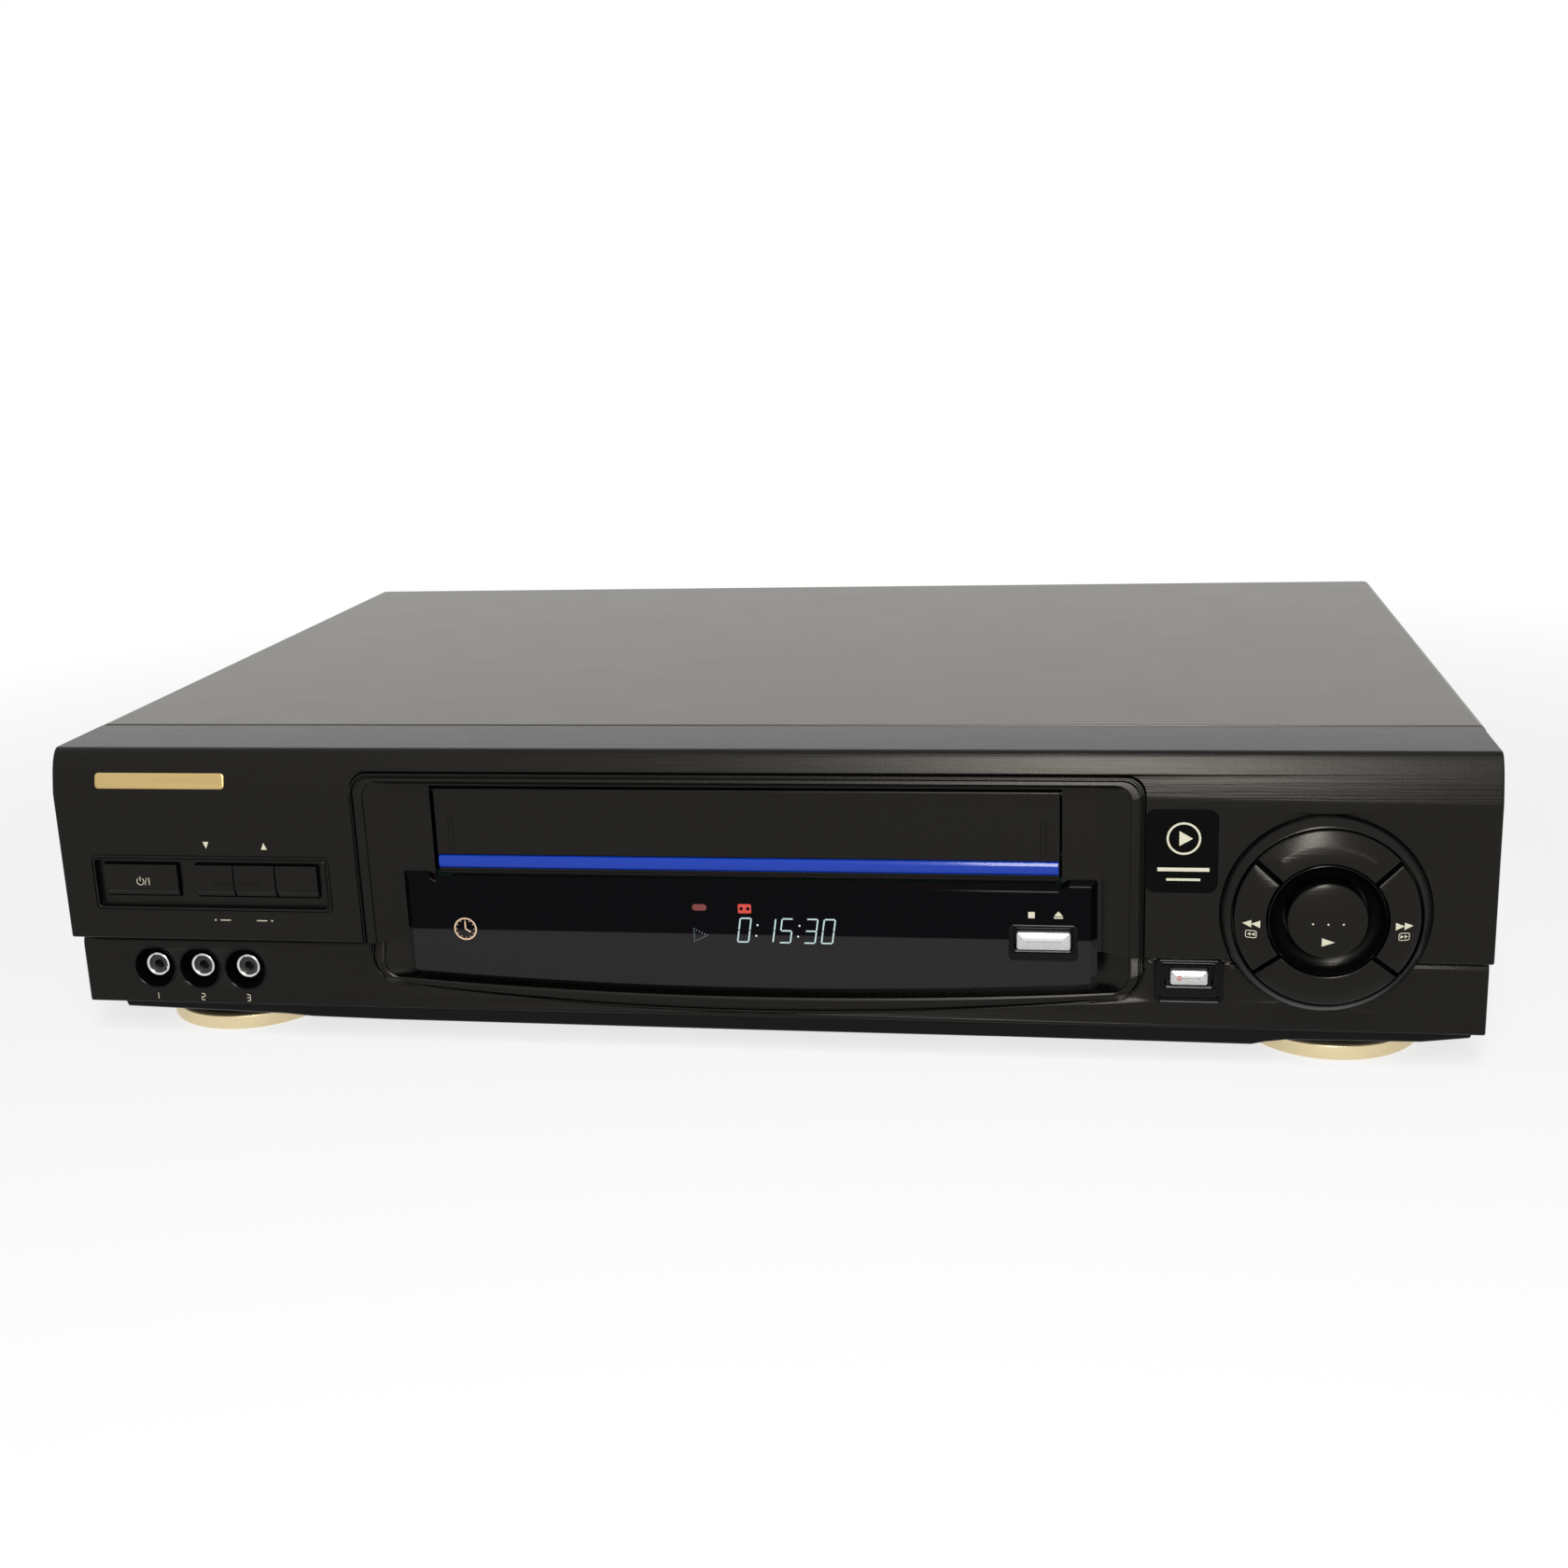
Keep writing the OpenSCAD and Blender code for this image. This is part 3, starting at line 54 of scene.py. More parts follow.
def place(p):
    """A point in millimetres from the front face, in the frame's metres."""
    return Vector((p[0], p[1] + FACE_Y, p[2])) * MM


def lerp(a, b, t):
    return a + (b - a) * t


def interpolate(rows, x):
    """Second value of the row list at x, on straight lines between rows."""
    if x <= rows[0][0]:
        return rows[0][1]
    for (x0, y0), (x1, y1) in zip(rows, rows[1:]):
        if x <= x1:
            return lerp(y0, y1, (x - x0) / (x1 - x0) if x1 > x0 else 1)
    return rows[-1][1]


# ---- Materials ----

WARM_GLOSS = (1.0, 0.94, 0.83, 1.0)
COAT_ROUGHNESS = 0.1
STREAK_SCALE = 1500
STREAK_WAY = (0.012, 1, 1)


def material(name, color, rough, metallic=0.0, specular=0.5, spread=0.12, scale=260,
             stretch=(1, 1, 1), rough_spread=0.06, bump=0.0, bump_scale=5000,
             grain=(1, 1, 1), streak=0.0, coat=0.0, emission=0.0, painted_reflection=None, warm=False):
    """A procedural finish: colour and roughness vary slowly, the bump is a fine grain, with
    brushed lines along x where streak is set. painted_reflection is the low and high z, in
    millimetres, and the colour of a painted reflection, which replaces the colour below that z."""
    m = bpy.data.materials.new(name)
    m.use_nodes = True
    nodes, links = m.node_tree.nodes, m.node_tree.links
    shader = nodes["Principled BSDF"]
    shader.inputs["Metallic"].default_value = metallic
    shader.inputs["Specular IOR Level"].default_value = specular
    if warm:
        shader.inputs["Specular Tint"].default_value = WARM_GLOSS
    if coat:
        shader.inputs["Coat Weight"].default_value = coat
        shader.inputs["Coat Roughness"].default_value = COAT_ROUGHNESS
    coords = nodes.new("ShaderNodeTexCoord")

    def noise(size, way, detail=3.0):
        mapping = nodes.new("ShaderNodeMapping")
        mapping.inputs["Scale"].default_value = way
        links.new(coords.outputs["Object"], mapping.inputs["Vector"])
        texture = nodes.new("ShaderNodeTexNoise")
        texture.inputs["Scale"].default_value = size
        texture.inputs["Detail"].default_value = detail
        links.new(mapping.outputs["Vector"], texture.inputs["Vector"])
        return texture.outputs["Fac"]

    def shade(rgb, k):
        return tuple(min(1.0, c * k) for c in rgb) + (1.0,)

    slow = noise(scale, stretch)
    mix = nodes.new("ShaderNodeMix")
    mix.data_type = "RGBA"
    mix.inputs["A"].default_value = shade(color, 1 - spread)
    mix.inputs["B"].default_value = shade(color, 1 + spread)
    links.new(slow, mix.inputs["Factor"])
    tint = mix.outputs["Result"]
    if painted_reflection:
        low, high, other = painted_reflection
        split = nodes.new("ShaderNodeSeparateXYZ")
        links.new(coords.outputs["Object"], split.inputs["Vector"])
        ramp = nodes.new("ShaderNodeMapRange")
        ramp.inputs["From Min"].default_value = low * MM
        ramp.inputs["From Max"].default_value = high * MM
        links.new(split.outputs["Z"], ramp.inputs["Value"])
        two = nodes.new("ShaderNodeMix")
        two.data_type = "RGBA"
        two.inputs["A"].default_value = other + (1.0,)
        links.new(ramp.outputs["Result"], two.inputs["Factor"])
        links.new(tint, two.inputs["B"])
        tint = two.outputs["Result"]
    links.new(tint, shader.inputs["Base Color"])
    rough_map = nodes.new("ShaderNodeMapRange")
    rough_map.inputs["To Min"].default_value = max(0.02, rough - rough_spread)
    rough_map.inputs["To Max"].default_value = min(1.0, rough + rough_spread)
    links.new(noise(scale * 2.3, stretch), rough_map.inputs["Value"])
    links.new(rough_map.outputs["Result"], shader.inputs["Roughness"])
    normal = None
    for depth, size, way in ((bump, bump_scale, grain), (streak, STREAK_SCALE, STREAK_WAY)):
        if depth:
            height = nodes.new("ShaderNodeBump")
            height.inputs["Strength"].default_value = 1.0
            height.inputs["Distance"].default_value = depth * MM
            links.new(noise(size, way, 2.0), height.inputs["Height"])
            if normal:
                links.new(normal, height.inputs["Normal"])
            normal = height.outputs["Normal"]
    if normal:
        links.new(normal, shader.inputs["Normal"])
    if emission:
        links.new(tint, shader.inputs["Emission Color"])
        shader.inputs["Emission Strength"].default_value = emission
    return m


BLACK = (0.0015, 0.0015, 0.0015)
ALONG_X = (0.03, 1, 1)
M = {
    "cover_steel": material("cover_paint", (0.03, 0.024, 0.014), 0.3, spread=0.06, scale=25,
                            rough_spread=0.02, bump=0.004, bump_scale=2600, specular=0.6,
                            warm=True),
    "front_plastic": material("front_plastic", BLACK, 0.27, spread=0.3, scale=900,
                              stretch=ALONG_X, bump=0.025, bump_scale=2200, streak=0.07,
                              specular=0.2, warm=True),
    "bay_plastic": material("bay_plastic", BLACK, 0.28, spread=0.15, scale=500,
                            bump=0.012, bump_scale=2600, specular=0.2, warm=True),
    "key_plastic": material("key_plastic", BLACK, 0.24, spread=0.12, scale=500,
                            bump=0.012, bump_scale=2200, streak=0.035, specular=0.2, warm=True),
    # The smoked window turns lighter below z 41.0 to 41.4: a painted reflection of the floor.
    "gloss_black": material("smoked_window", (0.0012, 0.0012, 0.0018), 0.08, spread=0.2, scale=90,
                            rough_spread=0.02, specular=0.04,
                            painted_reflection=(41.0, 41.4, (0.018, 0.0165, 0.0172))),
    "frame_black": material("frame_black", (0.002, 0.002, 0.0022), 0.16, spread=0.15, scale=300,
                            specular=0.12),
    "silver_keys": material("silver_paint", (0.52, 0.52, 0.51), 0.34, metallic=0.75, spread=0.5,
                            scale=3200, bump=0.05, bump_scale=3800),
    "blue_stripe": material("blue_stripe", (0.001, 0.028, 0.29), 0.2, spread=0.1, scale=300,
                            stretch=ALONG_X, bump=0.004, specular=0.05, coat=0.55),
    "champagne": material("champagne_ring", (0.80, 0.67, 0.41), 0.3, metallic=0.85, spread=0.14,
                          scale=700, stretch=(1, 1, 12), bump=0.01, bump_scale=2500,
                          grain=(1, 1, 14)),
    "foot_black": material("foot_rubber", (0.004, 0.004, 0.004), 0.6, bump=0.02, bump_scale=3000,
                           specular=0.15),
    "tray_plastic": material("tray_plastic", (0.010, 0.010, 0.0105), 0.55, bump=0.03,
                             bump_scale=2500),
    "rear_paint": material("rear_paint", (0.016, 0.016, 0.0165), 0.5, bump=0.02,
                           bump_scale=2600),
    "screw_steel": material("screw_black", (0.03, 0.03, 0.031), 0.35, metallic=0.6),
    "bright_plate": material("nickel", (0.72, 0.71, 0.68), 0.16, metallic=1.0, spread=0.08),
    "block_plastic": material("block_plastic", (0.008, 0.008, 0.0085), 0.5, bump=0.015),
    "board": material("board_green", (0.02, 0.10, 0.045), 0.45, spread=0.35, scale=420,
                      bump=0.03, bump_scale=700),
    "tube_glass": material("tube_glass", (0.02, 0.045, 0.042), 0.1, spread=0.1),
    "switch_plastic": material("switch_plastic", (0.05, 0.05, 0.055), 0.5, bump=0.01),
    "shield_tin": material("tinned_steel", (0.55, 0.56, 0.57), 0.28, metallic=1.0, spread=0.12,
                           scale=120, bump=0.01, bump_scale=900),
    "core_iron": material("core_iron", (0.20, 0.17, 0.12), 0.5, metallic=0.5, spread=0.25,
                          scale=900, stretch=(1, 1, 8), bump=0.06, bump_scale=900,
                          grain=(0.1, 0.1, 3)),
    "raw_aluminium": material("raw_aluminium", (0.74, 0.74, 0.75), 0.26, metallic=1.0,
                              spread=0.06, scale=500, stretch=(1, 1, 10), bump=0.006,
                              bump_scale=2500, grain=(1, 1, 10)),
    "can_sleeve": material("can_sleeve", (0.02, 0.03, 0.05), 0.3, spread=0.1, scale=200),
    "zinc_steel": material("zinc_steel", (0.58, 0.59, 0.60), 0.3, metallic=1.0, spread=0.16,
                           scale=70, bump=0.01, bump_scale=1500),
    "bronze": material("sintered_bronze", (0.45, 0.28, 0.12), 0.42, metallic=0.9, bump=0.02,
                       bump_scale=4000),
    "rubber": material("rubber", (0.015, 0.015, 0.015), 0.75, bump=0.02, bump_scale=3500),
    "white_plastic": material("white_plastic", (0.72, 0.72, 0.69), 0.42, spread=0.04, bump=0.01),
    "gear_plastic": material("gear_plastic", (0.62, 0.58, 0.48), 0.48, spread=0.05, bump=0.01),
}
CREAM = material("cream_print", (0.52, 0.50, 0.38), 0.5, spread=0.08, scale=900)
PEACH = material("peach_print", (0.62, 0.44, 0.30), 0.5, spread=0.08, scale=900)
GOLD = material("gold_badge", (0.55, 0.40, 0.17), 0.26, metallic=0.9, spread=0.12, scale=900,
                stretch=ALONG_X, bump=0.006)
GLOW = material("display_glow", (0.36, 0.47, 0.47), 0.5, spread=0.05, emission=0.35)
DIM_GLOW = material("display_dim", (0.10, 0.14, 0.15), 0.5, spread=0.05, emission=0.12)
RED_GLOW = material("display_red", (0.42, 0.03, 0.02), 0.5, spread=0.05, emission=0.2)
DULL_RED = material("display_dull_red", (0.12, 0.015, 0.012), 0.5, spread=0.05, emission=0.06)
STICKER = material("sticker_black", (0.002, 0.002, 0.002), 0.3, spread=0.2, specular=0.03)
DARK = material("shadow_plastic", (0.003, 0.003, 0.003), 0.6, bump=0.01)


# ---- Mesh helpers ----

SHARPEST_MITRE = 0.35       # keeps an inset sharp corner from running far inward
MERGE = 2e-6                # metres within which points are one


def arc(cx, cy, r, a0, a1, n):
    steps = [math.radians(lerp(a0, a1, i / n)) for i in range(n + 1)]
    return [(cx + r * math.cos(a), cy + r * math.sin(a)) for a in steps]


def quarter(steps):
    """Sine and cosine in even steps over a quarter turn."""
    turns = [math.pi / 2 * i / steps for i in range(steps + 1)]
    return [(math.sin(a), math.cos(a)) for a in turns]


def round_rect(cx, cz, w, h, r, n=6):
    points = []
    for sx, sz, a in ((1, 1, 0), (-1, 1, 90), (-1, -1, 180), (1, -1, 270)):
        points += arc(cx + sx * (w / 2 - r), cz + sz * (h / 2 - r), r, a, a + 90, n)
    return points


def circle(cx, cz, r, n=48):
    return arc(cx, cz, r, 0, 360, n)[:-1]


def offset(points, inset):
    """A closed outline moved inward."""
    n = len(points)
    area = sum(points[i - 1][0] * points[i][1] - points[i][0] * points[i - 1][1]
               for i in range(n))
    way = 1 if area > 0 else -1
    moved = []
    for i in range(n):
        a, b, c = (Vector(points[k % n][:2]) for k in (i - 1, i, i + 1))
        u, v = (b - a).normalized(), (c - b).normalized()
        both = u + v
        side = Vector((-both.y, both.x)).normalized() * way
        moved.append(tuple(b + side * (inset / max(both.length / 2, SHARPEST_MITRE))))
    return moved


def front(outline, d):
    """An outline in x and z, stood at depth d, which may be a function of x and z."""
    return [(x, d(x, z) if callable(d) else d, z) for x, z in outline]


def loft(rings, cap_first=False, cap_last=False, closed=True, around=False):
    """Faces between rings of as many points each; around joins the last to the first."""
    n = len(rings[0])
    verts = [p for ring in rings for p in ring]
    faces = []
    for i in range(len(rings) - (0 if around else 1)):
        a, b = i * n, (i + 1) % len(rings) * n
        for k in range(n if closed else n - 1):
            q = (k + 1) % n
            faces.append((a + k, a + q, b + q, b + k))
    if cap_first:
        faces.append(tuple(range(n))[::-1])
    if cap_last:
        faces.append(tuple(range((len(rings) - 1) * n, len(rings) * n)))
    return verts, faces


def join(parts):
    verts, faces = [], []
    for v, f in parts:
        faces += [tuple(i + len(verts) for i in face) for face in f]
        verts += v
    return verts, faces


def slab(outline, back, face, edge, dome, reach, steps=4):
    """A plate from its back to its face, with a rounded front edge and a crown."""
    rings = [front(outline(0), back)]
    for rise, run in quarter(steps):
        rings.append(front(outline(edge * (1 - run)), face + edge * (1 - rise)))
    for share in (0.15, 0.3, 0.5, 0.75, 1):
        rings.append(front(outline(lerp(edge, reach, share)),
                           face - dome * math.sin(math.pi / 2 * share)))
    return loft(rings, True, True)


def along_x(section, x0, x1, edge=0.3, steps=3):
    """A section in depth and z, drawn along x with rounded ends."""
    left = [(x0 + edge * (1 - run), edge * (1 - rise)) for rise, run in quarter(steps)]
    right = [(x0 + x1 - x, inset) for x, inset in reversed(left)]
    rows = [[(x, d, z) for d, z in offset(section, inset)] for x, inset in left + right]
    return loft(rows, True, True)


def turned(profile, x, z, n=64, around=False, cap=False):
    """A profile in radius and depth, turned about the depth axis at x, z."""
    rings = [front(circle(x, z, r, n), d) for r, d in profile]
    return loft(rings, cap_last=cap, around=around)


def inside(x, z, outline):
    """Whether a point lies in an outline."""
    hit = False
    for (x0, z0), (x1, z1) in zip(outline, outline[1:] + outline[:1]):
        if (z0 > z) != (z1 > z) and x < (x1 - x0) * (z - z0) / (z1 - z0) + x0:
            hit = not hit
    return hit


def fill(outer, holes, to_space, rows=()):
    """A flat sheet with holes, cut into triangles, then placed point by point."""
    points = [Vector(p) for p in outer]
    edges = [(i, (i + 1) % len(outer)) for i in range(len(outer))]
    for hole in holes:
        start = len(points)
        points += [Vector(p) for p in hole]
        edges += [(start + i, start + (i + 1) % len(hole)) for i in range(len(hole))]
    for a, b in rows:
        start = len(points)
        points += [Vector(a), Vector(b)]
        edges.append((start, start + 1))
    co, _, tris, _, _, _ = delaunay_2d_cdt(points, edges, [], 0, 1e-5)
    kept = []
    for t in tris:
        x = sum(co[i].x for i in t) / len(t)
        z = sum(co[i].y for i in t) / len(t)
        if inside(x, z, outer) and not any(inside(x, z, hole) for hole in holes):
            kept.append(tuple(t))
    return [to_space(c.x, c.y) for c in co], kept


def add(name, mesh, body, slot_name, finish=None, replaces=(), sharp=32, thick=0, outward=None,
        crease=None):
    """Makes an object of verts and faces, in its finish, and lets it ride on its body.

    sharp is the angle in degrees from which an edge stays sharp, crease the z of a line that
    stays sharp as well. thick adds a wall behind the surface, and outward is a point and a
    direction, which the faces near that point look along."""
    verts, faces = mesh
    me = bpy.data.meshes.new(name)
    me.from_pydata([place(v) for v in verts], [], faces)
    bm = bmesh.new()
    bm.from_mesh(me)
    bmesh.ops.remove_doubles(bm, verts=bm.verts, dist=MERGE)
    bmesh.ops.delete(bm, geom=[v for v in bm.verts if not v.link_faces], context="VERTS")
    bmesh.ops.recalc_face_normals(bm, faces=bm.faces)
    if outward:
        spot = place(outward[0])
        near = min(bm.faces, key=lambda f: (f.calc_center_median() - spot).length)
        if near.normal.dot(Vector(outward[1])) < 0:
            bmesh.ops.reverse_faces(bm, faces=bm.faces)
    bm.to_mesh(me)
    bm.free()
    me.materials.append(finish or M[slot_name])
    me.shade_smooth()
    me.set_sharp_from_angle(angle=math.radians(sharp))
    for edge in me.edges if crease else ():
        if all(abs(me.vertices[i].co.z - crease * MM) < 1e-5 for i in edge.vertices):
            edge.use_edge_sharp = True
    ob = bpy.data.objects.new(name, me)
    bpy.context.scene.collection.objects.link(ob)
    if thick:
        solid = ob.modifiers.new("thickness", "SOLIDIFY")
        solid.thickness = thick * MM
        solid.offset = -1
    level = ob.modifiers.new("normals", "WEIGHTED_NORMAL")
    level.keep_sharp = True
    level.weight = 80
    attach(ob, body)
    if replaces:
        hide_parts(*replaces)


# ---- CAD nodes that stay: finishes and softened edges ----

for row in frame["record"]["subparts"]:
    node = frame["nodes"][row["node"]]
    node.data.materials.clear()
    node.data.materials.append(M[row["material_slot"]])


def soften(names, width, angle=35):
    for name in names:
        node = frame["nodes"][name]
        weld = node.modifiers.new("weld", "WELD")
        weld.merge_threshold = MERGE
        bevel = node.modifiers.new("edge", "BEVEL")
        bevel.width = width * MM
        bevel.segments = 2
        bevel.limit_method = "ANGLE"
        bevel.angle_limit = math.radians(angle)


# ---- Front panel ----

# The front's outline from the side in depth and z, from the lower strip's underside up over
# the step, the face and the ledge, to a tongue under the cover
STRIP_LOW = 13.4
TONGUE_D = 37.2
STRIP = [(6.7, STRIP_LOW)] + arc(6.7, STRIP_LOW + 0.7, 0.7, 270, 180, 4)[1:] + [
    (6, 32.4), (6.1, 33.5), (6.5, 34.6), (7.1, 35.6), (7.85, 36.4), (8.6, 36.9), (8.6, STEP_Z)]
FACE = arc(0.7, STEP_Z + 0.7, 0.7, 270, 180, 4) + [
    (0, LEAN_Z), (0.5, 86.8), (1.05, 89.3), (1.74, 92), (2.5, 94.1), (3.4, 95.8), (4.3, 97.0),
    (5.1, 97.7), (5.9, 98)]
PROFILE = [(8.5, STRIP_LOW)] + STRIP + FACE + [
    (34.3, 98), (34.8, 97.88), (35.15, 97.6), (35.3, 97.2), (35.35, 94), (TONGUE_D, 94)]
HALF_W = 215.5
SIDE_R = 0.65       # rounding of the front's outer edges


def face_depth(z):
    return interpolate([(q[1], q[0]) for q in FACE], z)


def strip_depth(z):
    return interpolate([(q[1], q[0]) for q in STRIP], z)


def along(profile):
    """Length along a profile up to each of its points."""
    out = [0.0]
    for a, b in zip(profile, profile[1:]):
        out.append(out[-1] + math.hypot(b[0] - a[0], b[1] - a[1]))
    return out


# The profile unrolled: length along it at each height of the strip and the face, and back
S = along(PROFILE)
LOW_S = [(z, s) for (d, z), s in zip(PROFILE, S)][1:1 + len(STRIP)]
HIGH_S = [(z, s) for (d, z), s in zip(PROFILE, S)][1 + len(STRIP):1 + len(STRIP) + len(FACE)]
D_OF_S = [(s, p[0]) for p, s in zip(PROFILE, S)]
Z_OF_S = [(s, p[1]) for p, s in zip(PROFILE, S)]


def unrolled(outline):
    """A hole's outline in x and z, laid on the unrolled face, with the step between."""
    out = []
    n = len(outline)
    for i in range(n):
        (x0, z0), (x1, z1) = outline[i], outline[(i + 1) % n]
        out.append((x0, interpolate(HIGH_S if z0 > STEP_Z else LOW_S, z0)))
        if (z0 > STEP_Z) != (z1 > STEP_Z):
            x = lerp(x0, x1, (STEP_Z - z0) / (z1 - z0))
            pair = [(x, LOW_S[-1][1]), (x, HIGH_S[0][1])]
            out += pair if z0 < STEP_Z else pair[::-1]
    return out


def sagging(hw, low, sag_r, r, n, m):
    """A bottom edge on one wide arc of radius sag_r, from left to right, with corners of r."""
    x, middle = hw - r, low + sag_r
    z = middle - math.sqrt((sag_r - r) ** 2 - x ** 2)
    a = math.degrees(math.atan2(middle - z, x))
    return (arc(-x, z, r, 180, 180 + a, n) + arc(0, middle, sag_r, 180 + a, 360 - a, m)[1:-1]
            + arc(x, z, r, 360 - a, 360, n))


def bay_outline(hw, top, low, sag_r, top_r, low_r, n=8, m=48):
    """The bay's outline from the right, by the top, to the sagging bottom. Rows of
    x, z and whether the point lies below the step."""
    points = [(hw, STEP_Z, False)]
    points += [p + (False,) for p in arc(hw - top_r, top - top_r, top_r, 0, 90, n)]
    points += [p + (False,) for p in arc(top_r - hw, top - top_r, top_r, 90, 180, n)]
    points += [(-hw, STEP_Z, False), (-hw, STEP_Z, True)]
    points += [p + (True,) for p in sagging(hw, low, sag_r, low_r, n, m)]
    points += [(hw, STEP_Z, True)]
    return points


def bead(t, spread=0.0):
    """The bay's outline between its outer line, t = 0, and its inner lip, t = 1. The top
    drops fast over the outer groove and slowly over the bead."""
    drop = 3.83 * t if t < 0.3 else 1.15 + 1.79 * (t - 0.3)
    return bay_outline(118.4 - 4.2 * t + spread, 91.1 - drop + spread,
                       15.2 + 5.3 * t - spread, 820 + 730 * t, 5.2 - 0.6 * t, 9 - 4 * t)


# Centre x and z of what the front carries, then width and height
TRAY = (-166.65, 55.5, 78.7, 18.6)
WELLS = [(-191.8, 25.4), (-176.5, 25.4), (-161.2, 25.4)]
JOG = (168.9, 51.7)
REC_FRAME = (131.7, 28.2, 19.8, 13.4)
REC_KEY = (131.7, 29.5, 10.8, 4.6)
STOP_FRAME = (89.55, 40.4, 20.1, 11.2)
STOP_KEY = (89.7, 41.1, 15.7, 5.5)
BAY_HW, BAY_D, BAY_LOW_D = 106.4, 5, 10    # the bay's floor, above and below the step
WINDOW_D = 3.0


def front_panel():
    bay_hole = [(x, z) for x, z, _ in bead(0, 0.35) if abs(z - STEP_Z) > 1e-6]
    holes = [bay_hole, round_rect(*TRAY[:2], TRAY[2] - 1, TRAY[3] - 1, 2.2),
             circle(*JOG, 29.45, 96), round_rect(*REC_FRAME, 1.8)]
    holes += [circle(x, z, 6.75) for x, z in WELLS]
    edge_x = HALF_W - SIDE_R
    outer = [(-edge_x, S[0]), (edge_x, S[0]), (edge_x, S[-1]), (-edge_x, S[-1])]
    rows = [((-edge_x, s), (edge_x, s)) for s in S[1:-1]]
    parts = [fill(outer, [unrolled(h) for h in holes],
                  lambda x, s: (x, interpolate(D_OF_S, s), interpolate(Z_OF_S, s)), rows)]
    ends = PROFILE + [(TONGUE_D, STRIP_LOW)]
    for side in (-1, 1):
        rings = []
        for rise, run in quarter(4):
            x = side * (edge_x + SIDE_R * rise)
            rings.append([(x, d, z) for d, z in offset(ends, SIDE_R * (1 - run))][:len(PROFILE)])
        parts.append(loft(rings, closed=False))
        x = side * HALF_W
        parts.append(fill(offset(ends, SIDE_R), [], lambda d, z: (x, d, z)))
    add("front_shell", join(parts), "case", "front_plastic", replaces=("front_panel",),
        thick=1.1, outward=((0, 0, 93), (0, -1, 0)), sharp=28, crease=LEAN_Z)


def front_sill():
    """The lip under the lower strip, deepest between the feet."""
    low = [(-204, 12.9), (-203.4, 11.3), (-150, 10.0), (-141, 9.3), (-115, 8.9), (0, 8.6),
           (80, 8.6), (150, 8.3), (154, 9.2), (160, 10.0), (198, 10.4), (211.5, 12.0), (212, 13.2)]
    near, far, top = 7.4, 8.6, STRIP_LOW + 0.2
    rings = [[(x, near, top), (x, near, z + 0.4), (x, near + 0.4, z), (x, far, z), (x, far, top)]
             for x, z in low]
    add("front_sill", loft(rings, True, True), "case", "front_plastic", M["frame_black"])


def on_front(points, d):
    """Rows of the bay's outline, at depth d from the face or the strip."""
    return [(x, (strip_depth(z) if low else face_depth(z)) + d, z) for x, z, low in points]


def bay_frame():
    rows = [(0, 2.5), (0, -0.15), (0.02, -0.45), (0.06, -0.68), (0.11, -0.7), (0.155, -0.5),
            (0.185, -0.15), (0.2, 0.05), (0.27, 0.05), (0.285, -0.2), (0.31, -0.62),
            (0.35, -0.78), (0.45, -0.82), (0.8, -0.86), (0.84, -0.85), (0.96, -0.56),
            (0.99, -0.32), (1.0, -0.1)]
    rings = [on_front(bead(t), d) for t, d in rows]
    inner = bay_outline(BAY_HW, 86.9, 20.5, 1550, 1.0, 3.5)
    rings.append([(x, BAY_LOW_D if below else BAY_D, z) for x, z, below in inner])
    parts = [loft(rings)]
    high = [(x, z) for x, z, below in inner if not below]
    low = [(x, z) for x, z, below in inner if below]
    notch = [(-103, STEP_Z), (-103, 50), (103, 50), (103, STEP_Z)]
    gate = [(-95, 57.3), (95, 57.3), (95, 86.4), (-95, 86.4)]
    # The floor round the door's opening and the window's seat, then the walls between
    parts.append(fill(high + notch, [gate], lambda x, z: (x, BAY_D, z)))
    parts.append(fill(low + notch[::-1], [], lambda x, z: (x, BAY_LOW_D, z)))
    walls = [(-BAY_HW, STEP_Z)] + notch + [(BAY_HW, STEP_Z)]
    parts.append(loft([front(walls, BAY_D), front(walls, BAY_LOW_D)], closed=False))
    parts.append(loft([front(gate, BAY_D), front(gate, BAY_D + 0.8)]))
    add("bay_surround", join(parts), "case", "bay_plastic", replaces=("bay_frame",), thick=0.8,
        outward=((0, -0.3, 89.3), (0, -1, 0)), sharp=30)


def door():
    section = [(8.5, 57.9), (8.5, 85.6)] + arc(7.4, 84.5, 1.1, 90, 180, 5)
    section += [(6.3, 64.5), (6.4, 64.35), (6.8, 64.3), (6.8, 59.2), (6.55, 59.05), (6.55, 57.9)]
    parts = [along_x(section, -94.4, 94.4, 0.25)]
    # Fine ribs near the ends, and the two pivot pins
    for x in (-90.3, -88.9, 88.9, 90.3):
        foot, ridge = round_rect(x, 71, 0.34, 12, 0.16, 3), round_rect(x, 71, 0.18, 11.8, 0.08, 3)
        parts.append(loft([front(foot, 6.4), front(foot, 6.2), front(ridge, 6.1)], cap_last=True))
    for x0, x1 in ((-102.5, -94.3), (94.3, 102.5)):
        parts.append(along_x(circle(7.4, 84.6, 0.9, 20), x0, x1, 0.2))
    add("door_flap", join(parts), "door", "bay_plastic", replaces=("cassette_door",))
    stripe = [(6.75, 64.1), (6.35, 64.1), (6.0, 63.85), (5.74, 63.4), (5.58, 62.9), (5.51, 62.4),
              (5.5, 61.9), (5.53, 61.2), (5.68, 60.6), (6.0, 60.15), (6.4, 60.0), (6.75, 60.0)]
    add("door_bar", along_x(stripe, -94, 94, 0.2), "door", "blue_stripe",
        replaces=("door_stripe",), sharp=60)


